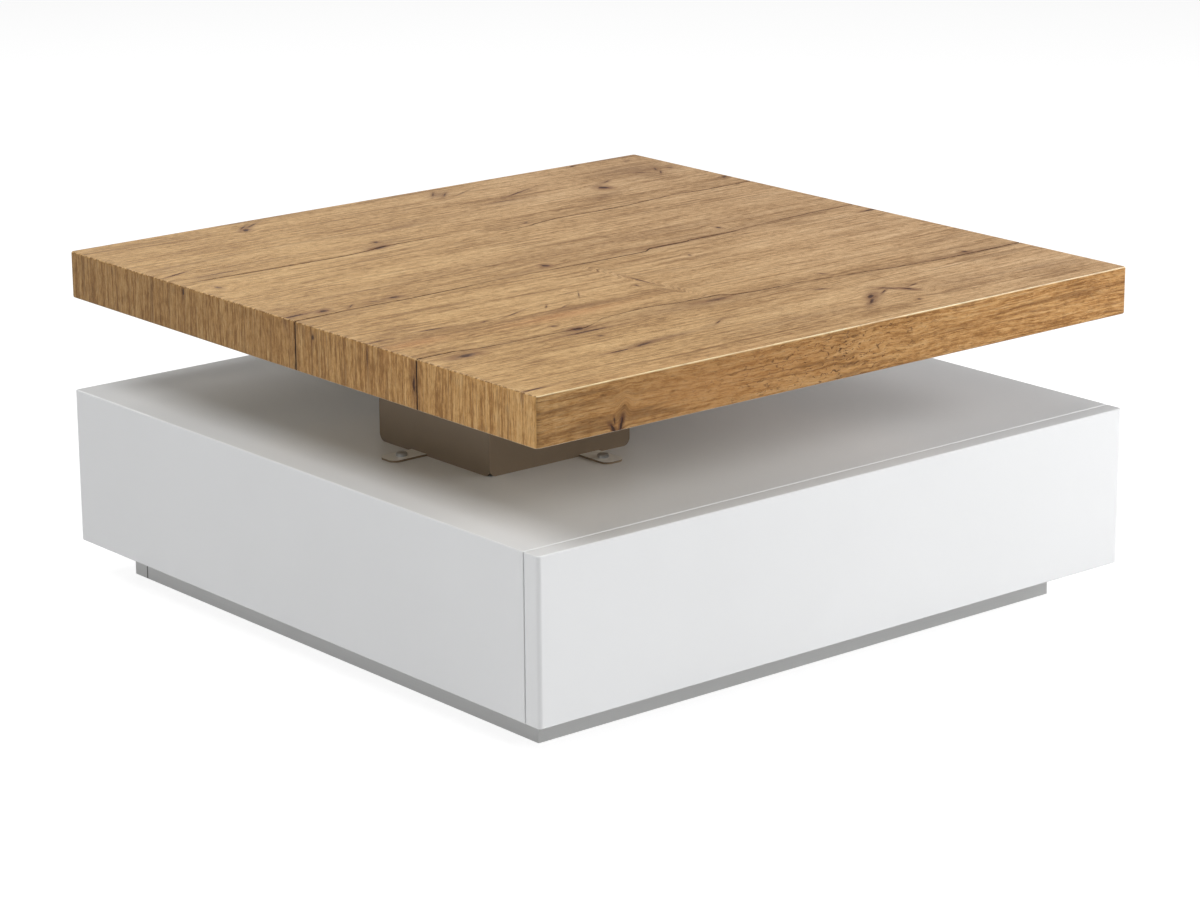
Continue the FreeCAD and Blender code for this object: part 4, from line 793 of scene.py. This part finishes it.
def grain(x, y, z, side):
    """What the board's mesh carries at each corner for the oak material, by name, three numbers to a name."""
    u, v = unfolded(x, y, z, side)
    under = side == UNDERSIDE
    knot_along, knot_across, knot_power = nearest_knot(u, v)
    away, crack_power = nearest_crack(x, y)
    stain = np.max([mark[5] * spot(u, v, mark) for mark in STAINS], 0)
    ruddy = np.max([spot(u, v, (*mark, 0, 1)) for mark in RUDDY], 0)
    tones = np.array(TONES)
    tone = np.interp(v, tones[:, 0], tones[:, 1])
    burl = np.clip(1 - np.abs(u - BURL_MIDDLE) / BURL_REACH, 0, 1) * (v < MM - HALF)
    cracked = np.isin(side, (LEFT_END, RIGHT_END, TOP))
    return {
        "grain": (u, turned_aside(u, v), under * UNDERSIDE_GRAIN),
        "knot": (knot_along, knot_across, knot_power * ~under),
        "crack": (away, crack_power * cracked, rim_marks(x, y, z, side)),
        "tone": (tone, stain, ruddy),
        "kind": (burl, under, side < UNDERSIDE),
    }


def board_lattice():
    """The box that the board is shaped from, cut into quads, with its rows bent along the cracks."""
    thick = BOARD_HIGH.z - BOARD_LOW.z
    inner = np.linspace(EDGE_ROUND, thick - EDGE_ROUND, LAYERS + 1)[1:-1]
    zs = BOARD_LOW.z + np.array(sorted([*EDGE_STEPS, *inner, *(thick - step for step in EDGE_STEPS)]))
    x, y, z, quads, side = box_lattice(grid_lines(COLUMN_STEP), grid_lines(ROW_STEP, CRACK_ROWS), zs)
    return x, follow_cracks(x, y), z, quads, side


def grooved(x, y, z):
    """Places on the board's rounded slab, let in at its cracks, which are open on the top and the ends."""
    place, normal = rounded_slab(x, y, z)
    away, power = nearest_crack(x, y)
    open_side = (z > BOARD_LOW.z + SHUT_MARGIN) & (np.abs(y) < HALF - SHUT_MARGIN)
    groove = np.interp(np.abs(away), GROOVE_PLACES, GROOVE_SHARES) * power * open_side
    return place - normal * (groove * CRACK_DEPTH)[:, None]


def oak_board():
    """The oak top: one thick board with eased edges, open cracks and its grain carried by the mesh."""
    x, y, z, quads, side = board_lattice()
    mesh = smooth_mesh("oak_board", grooved(x, y, z).tolist(), quads.tolist(), MATERIALS["oak"])
    corner = quads.reshape(-1)
    for name, columns in grain(x[corner], y[corner], z[corner], np.repeat(side, 4)).items():
        layer = mesh.attributes.new(name, "FLOAT_VECTOR", "CORNER")
        layer.data.foreach_set("vector", np.column_stack(columns).astype(np.float32).reshape(-1))
    board = placed("oak_board", mesh)
    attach(board, "top")
    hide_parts("table_top")


SPRING_WIRE = 0.8 * MM
SPRING_PITCH = 2.6 * MM
RINGS_A_TURN = 28
RING_POINTS = 10


def coil(low, high):
    """Points and faces of a round wire that winds along y and fills the given box."""
    middle = (low + high) / 2
    radius = (high.x - low.x - SPRING_WIRE) / 2
    long = high.y - low.y - SPRING_WIRE
    turns = long / SPRING_PITCH
    count = round(turns * RINGS_A_TURN) + 1
    angle = np.linspace(0, 2 * math.pi * turns, count)[:, None]
    around = np.linspace(0, 2 * math.pi, RING_POINTS, endpoint=False)[None, :]
    rise = math.atan2(SPRING_PITCH, 2 * math.pi * radius)
    reach = radius + SPRING_WIRE / 2 * np.cos(around)
    aside = SPRING_WIRE / 2 * np.sin(around)
    back = aside * math.sin(rise)
    x = middle.x + reach * np.cos(angle) + back * np.sin(angle)
    y = low.y + SPRING_WIRE / 2 + long * angle / angle[-1] + aside * math.cos(rise)
    z = middle.z - reach * np.sin(angle) + back * np.cos(angle)
    points = np.stack((x, y, z), -1).reshape(-1, 3)
    rings = np.arange(len(points)).reshape(count, RING_POINTS)
    turned = np.roll(rings, -1, 1)
    quads = np.stack((rings[:-1], rings[1:], turned[1:], turned[:-1]), -1).reshape(-1, 4)
    return points.tolist(), [*quads.tolist(), rings[0].tolist(), rings[-1, ::-1].tolist()]


def latch_spring():
    """The push latch's coil spring."""
    low, high = (Vector(corner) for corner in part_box("push_latch_spring"))
    length = high.y - low.y
    press = next(joint for joint in frame["joints"] if joint["name"] == "latch_press")["range_m"][1]
    spring = placed("latch_spring", smooth_mesh("latch_spring", *coil(low, high), MATERIALS["zinc_steel"]))
    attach(spring, "body")
    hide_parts("push_latch_spring")
    1 - press / length
    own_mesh(spring)


# The photograph's viewpoint and lens, fitted to the table's corners in it
CAMERA_PLACE = (-2.30362, -2.77481, 1.17445)
CAMERA_TURN = math.radians(-39.81)
CAMERA_TILT = math.radians(15.93)
CAMERA_ROLL = math.radians(-0.34)
PHOTO_WIDTH = 1200
FOCAL_PIXELS = 3699.2
SENSOR_WIDTH = 36.0


def camera():
    """The photograph's viewpoint: square to nothing, a little above the top, with a long lens."""
    turn, tilt, roll = CAMERA_TURN, CAMERA_TILT, CAMERA_ROLL
    back = Vector((math.sin(turn) * math.cos(tilt), -math.cos(turn) * math.cos(tilt), math.sin(tilt)))
    right = Vector((math.cos(turn), math.sin(turn), 0))
    up = back.cross(right)
    across = right * math.cos(roll) + up * math.sin(roll)
    upright = up * math.cos(roll) - right * math.sin(roll)
    data = bpy.data.cameras.new("camera")
    data.sensor_width = SENSOR_WIDTH
    data.lens = FOCAL_PIXELS * SENSOR_WIDTH / PHOTO_WIDTH
    data.clip_end = 100.0
    made = placed("camera", data)
    made.matrix_world = Matrix((across, upright, back)).transposed().to_4x4()
    made.location = CAMERA_PLACE
    bpy.context.scene.camera = made


# Each light's name, place, width, height and power in watts
LIGHTS = (
    ("overhead", (0, 0, 3.2), 2.6, 2.6, 14),
    ("front_right", (2.2, -2.4, 1.45), 2.0, 1.6, 84),
    ("right_low", (3.4, -0.6, 1.0), 2.0, 1.2, 19),
    ("left", (-1.9, 0.2, 3.3), 2.0, 1.6, 60),
    ("left_low", (-3.2, -0.4, 1.4), 2.0, 1.4, 8),
    ("front_left", (-2.2, -2.6, 2.6), 2.4, 1.6, 9),
    ("back", (0.6, 3.0, 2.6), 2.4, 1.6, 25),
)
LIGHTS_AIM = Vector((0, 0, 0.2))
# Lights that would whiten the lacquer out where it mirrors them, seen from behind
UNMIRRORED = ("front_right", "right_low")


def area_light(name, place, width, height, power):
    """A rectangular light that faces the table."""
    data = bpy.data.lights.new(name, "AREA")
    data.shape = "RECTANGLE"
    data.size, data.size_y = width, height
    data.energy = power
    made = placed(name, data)
    made.location = place
    made.rotation_mode = "QUATERNION"
    made.rotation_quaternion = (LIGHTS_AIM - Vector(place)).to_track_quat("-Z", "Y")
    made.visible_glossy = name not in UNMIRRORED


# How bright the surroundings are on the table and in its gloss, and the floor to the camera and in the gloss
AMBIENT = 0.10
GLOSS_GLOW = 0.20
FLOOR_GLOW = 0.85
FLOOR_GLOSS = 0.6
FLOOR_REACH = 30.0
# A little below the table's underside, so that the two don't share a plane
FLOOR_HEIGHT = -0.4 * MM


def kinds_of_ray(g):
    """Whether a ray comes from the camera, also through something clear, and whether it comes from gloss."""
    rays = g.node("ShaderNodeLightPath").outputs
    seen = g.math("MAXIMUM", Wire(g, rays["Is Camera Ray"]), Wire(g, rays["Is Transmission Ray"]))
    return seen, Wire(g, rays["Is Glossy Ray"])


def floor():
    """A pale floor that shows white, with the table's faint shadow."""
    mesh = bpy.data.meshes.new("floor")
    corners = [(x * FLOOR_REACH, y * FLOOR_REACH, 0) for x, y in ((-1, -1), (1, -1), (1, 1), (-1, 1))]
    mesh.from_pydata(corners, [], [(0, 1, 2, 3)])
    made = placed("floor", mesh)
    made.location.z = FLOOR_HEIGHT
    g = new_material("floor")
    x, y, z = g.coordinates()
    cloud = g.noise(x * 2, y * 2, z, 2.0)
    seen, glossy = kinds_of_ray(g)
    paint = g.mix(cloud, colour(230, 230, 230), colour(232, 232, 232))
    faint = g.mix(cloud, colour(148, 148, 148), colour(150, 150, 150))
    lit = g.wire("ShaderNodeBsdfDiffuse", {"Color": g.mix(seen, paint, faint)})
    glow = g.wire("ShaderNodeEmission", {"Color": WHITE, "Strength": seen * FLOOR_GLOW})
    both = g.wire("ShaderNodeAddShader", {0: lit, 1: glow})
    plain = g.wire("ShaderNodeEmission", {"Color": WHITE, "Strength": FLOOR_GLOSS})
    mesh.materials.append(g.show(g.wire("ShaderNodeMixShader", {0: glossy, 1: both, 2: plain})))


def world():
    """Even surroundings: white to the camera, dim on the table, and a little brighter in mirrors."""
    made = bpy.data.worlds.new("world")
    bpy.context.scene.world = made
    g = Graph(made, "ShaderNodeOutputWorld")
    seen, glossy = kinds_of_ray(g)
    strength = seen * (1.0 - AMBIENT) + glossy * (GLOSS_GLOW - AMBIENT) + AMBIENT
    g.show(g.wire("ShaderNodeBackground", {"Color": WHITE, "Strength": strength}))


oak_board()
latch_spring()
camera()
for light in LIGHTS:
    area_light(*light)
floor()
world()

view = bpy.context.scene.view_settings
view.view_transform = "Standard"
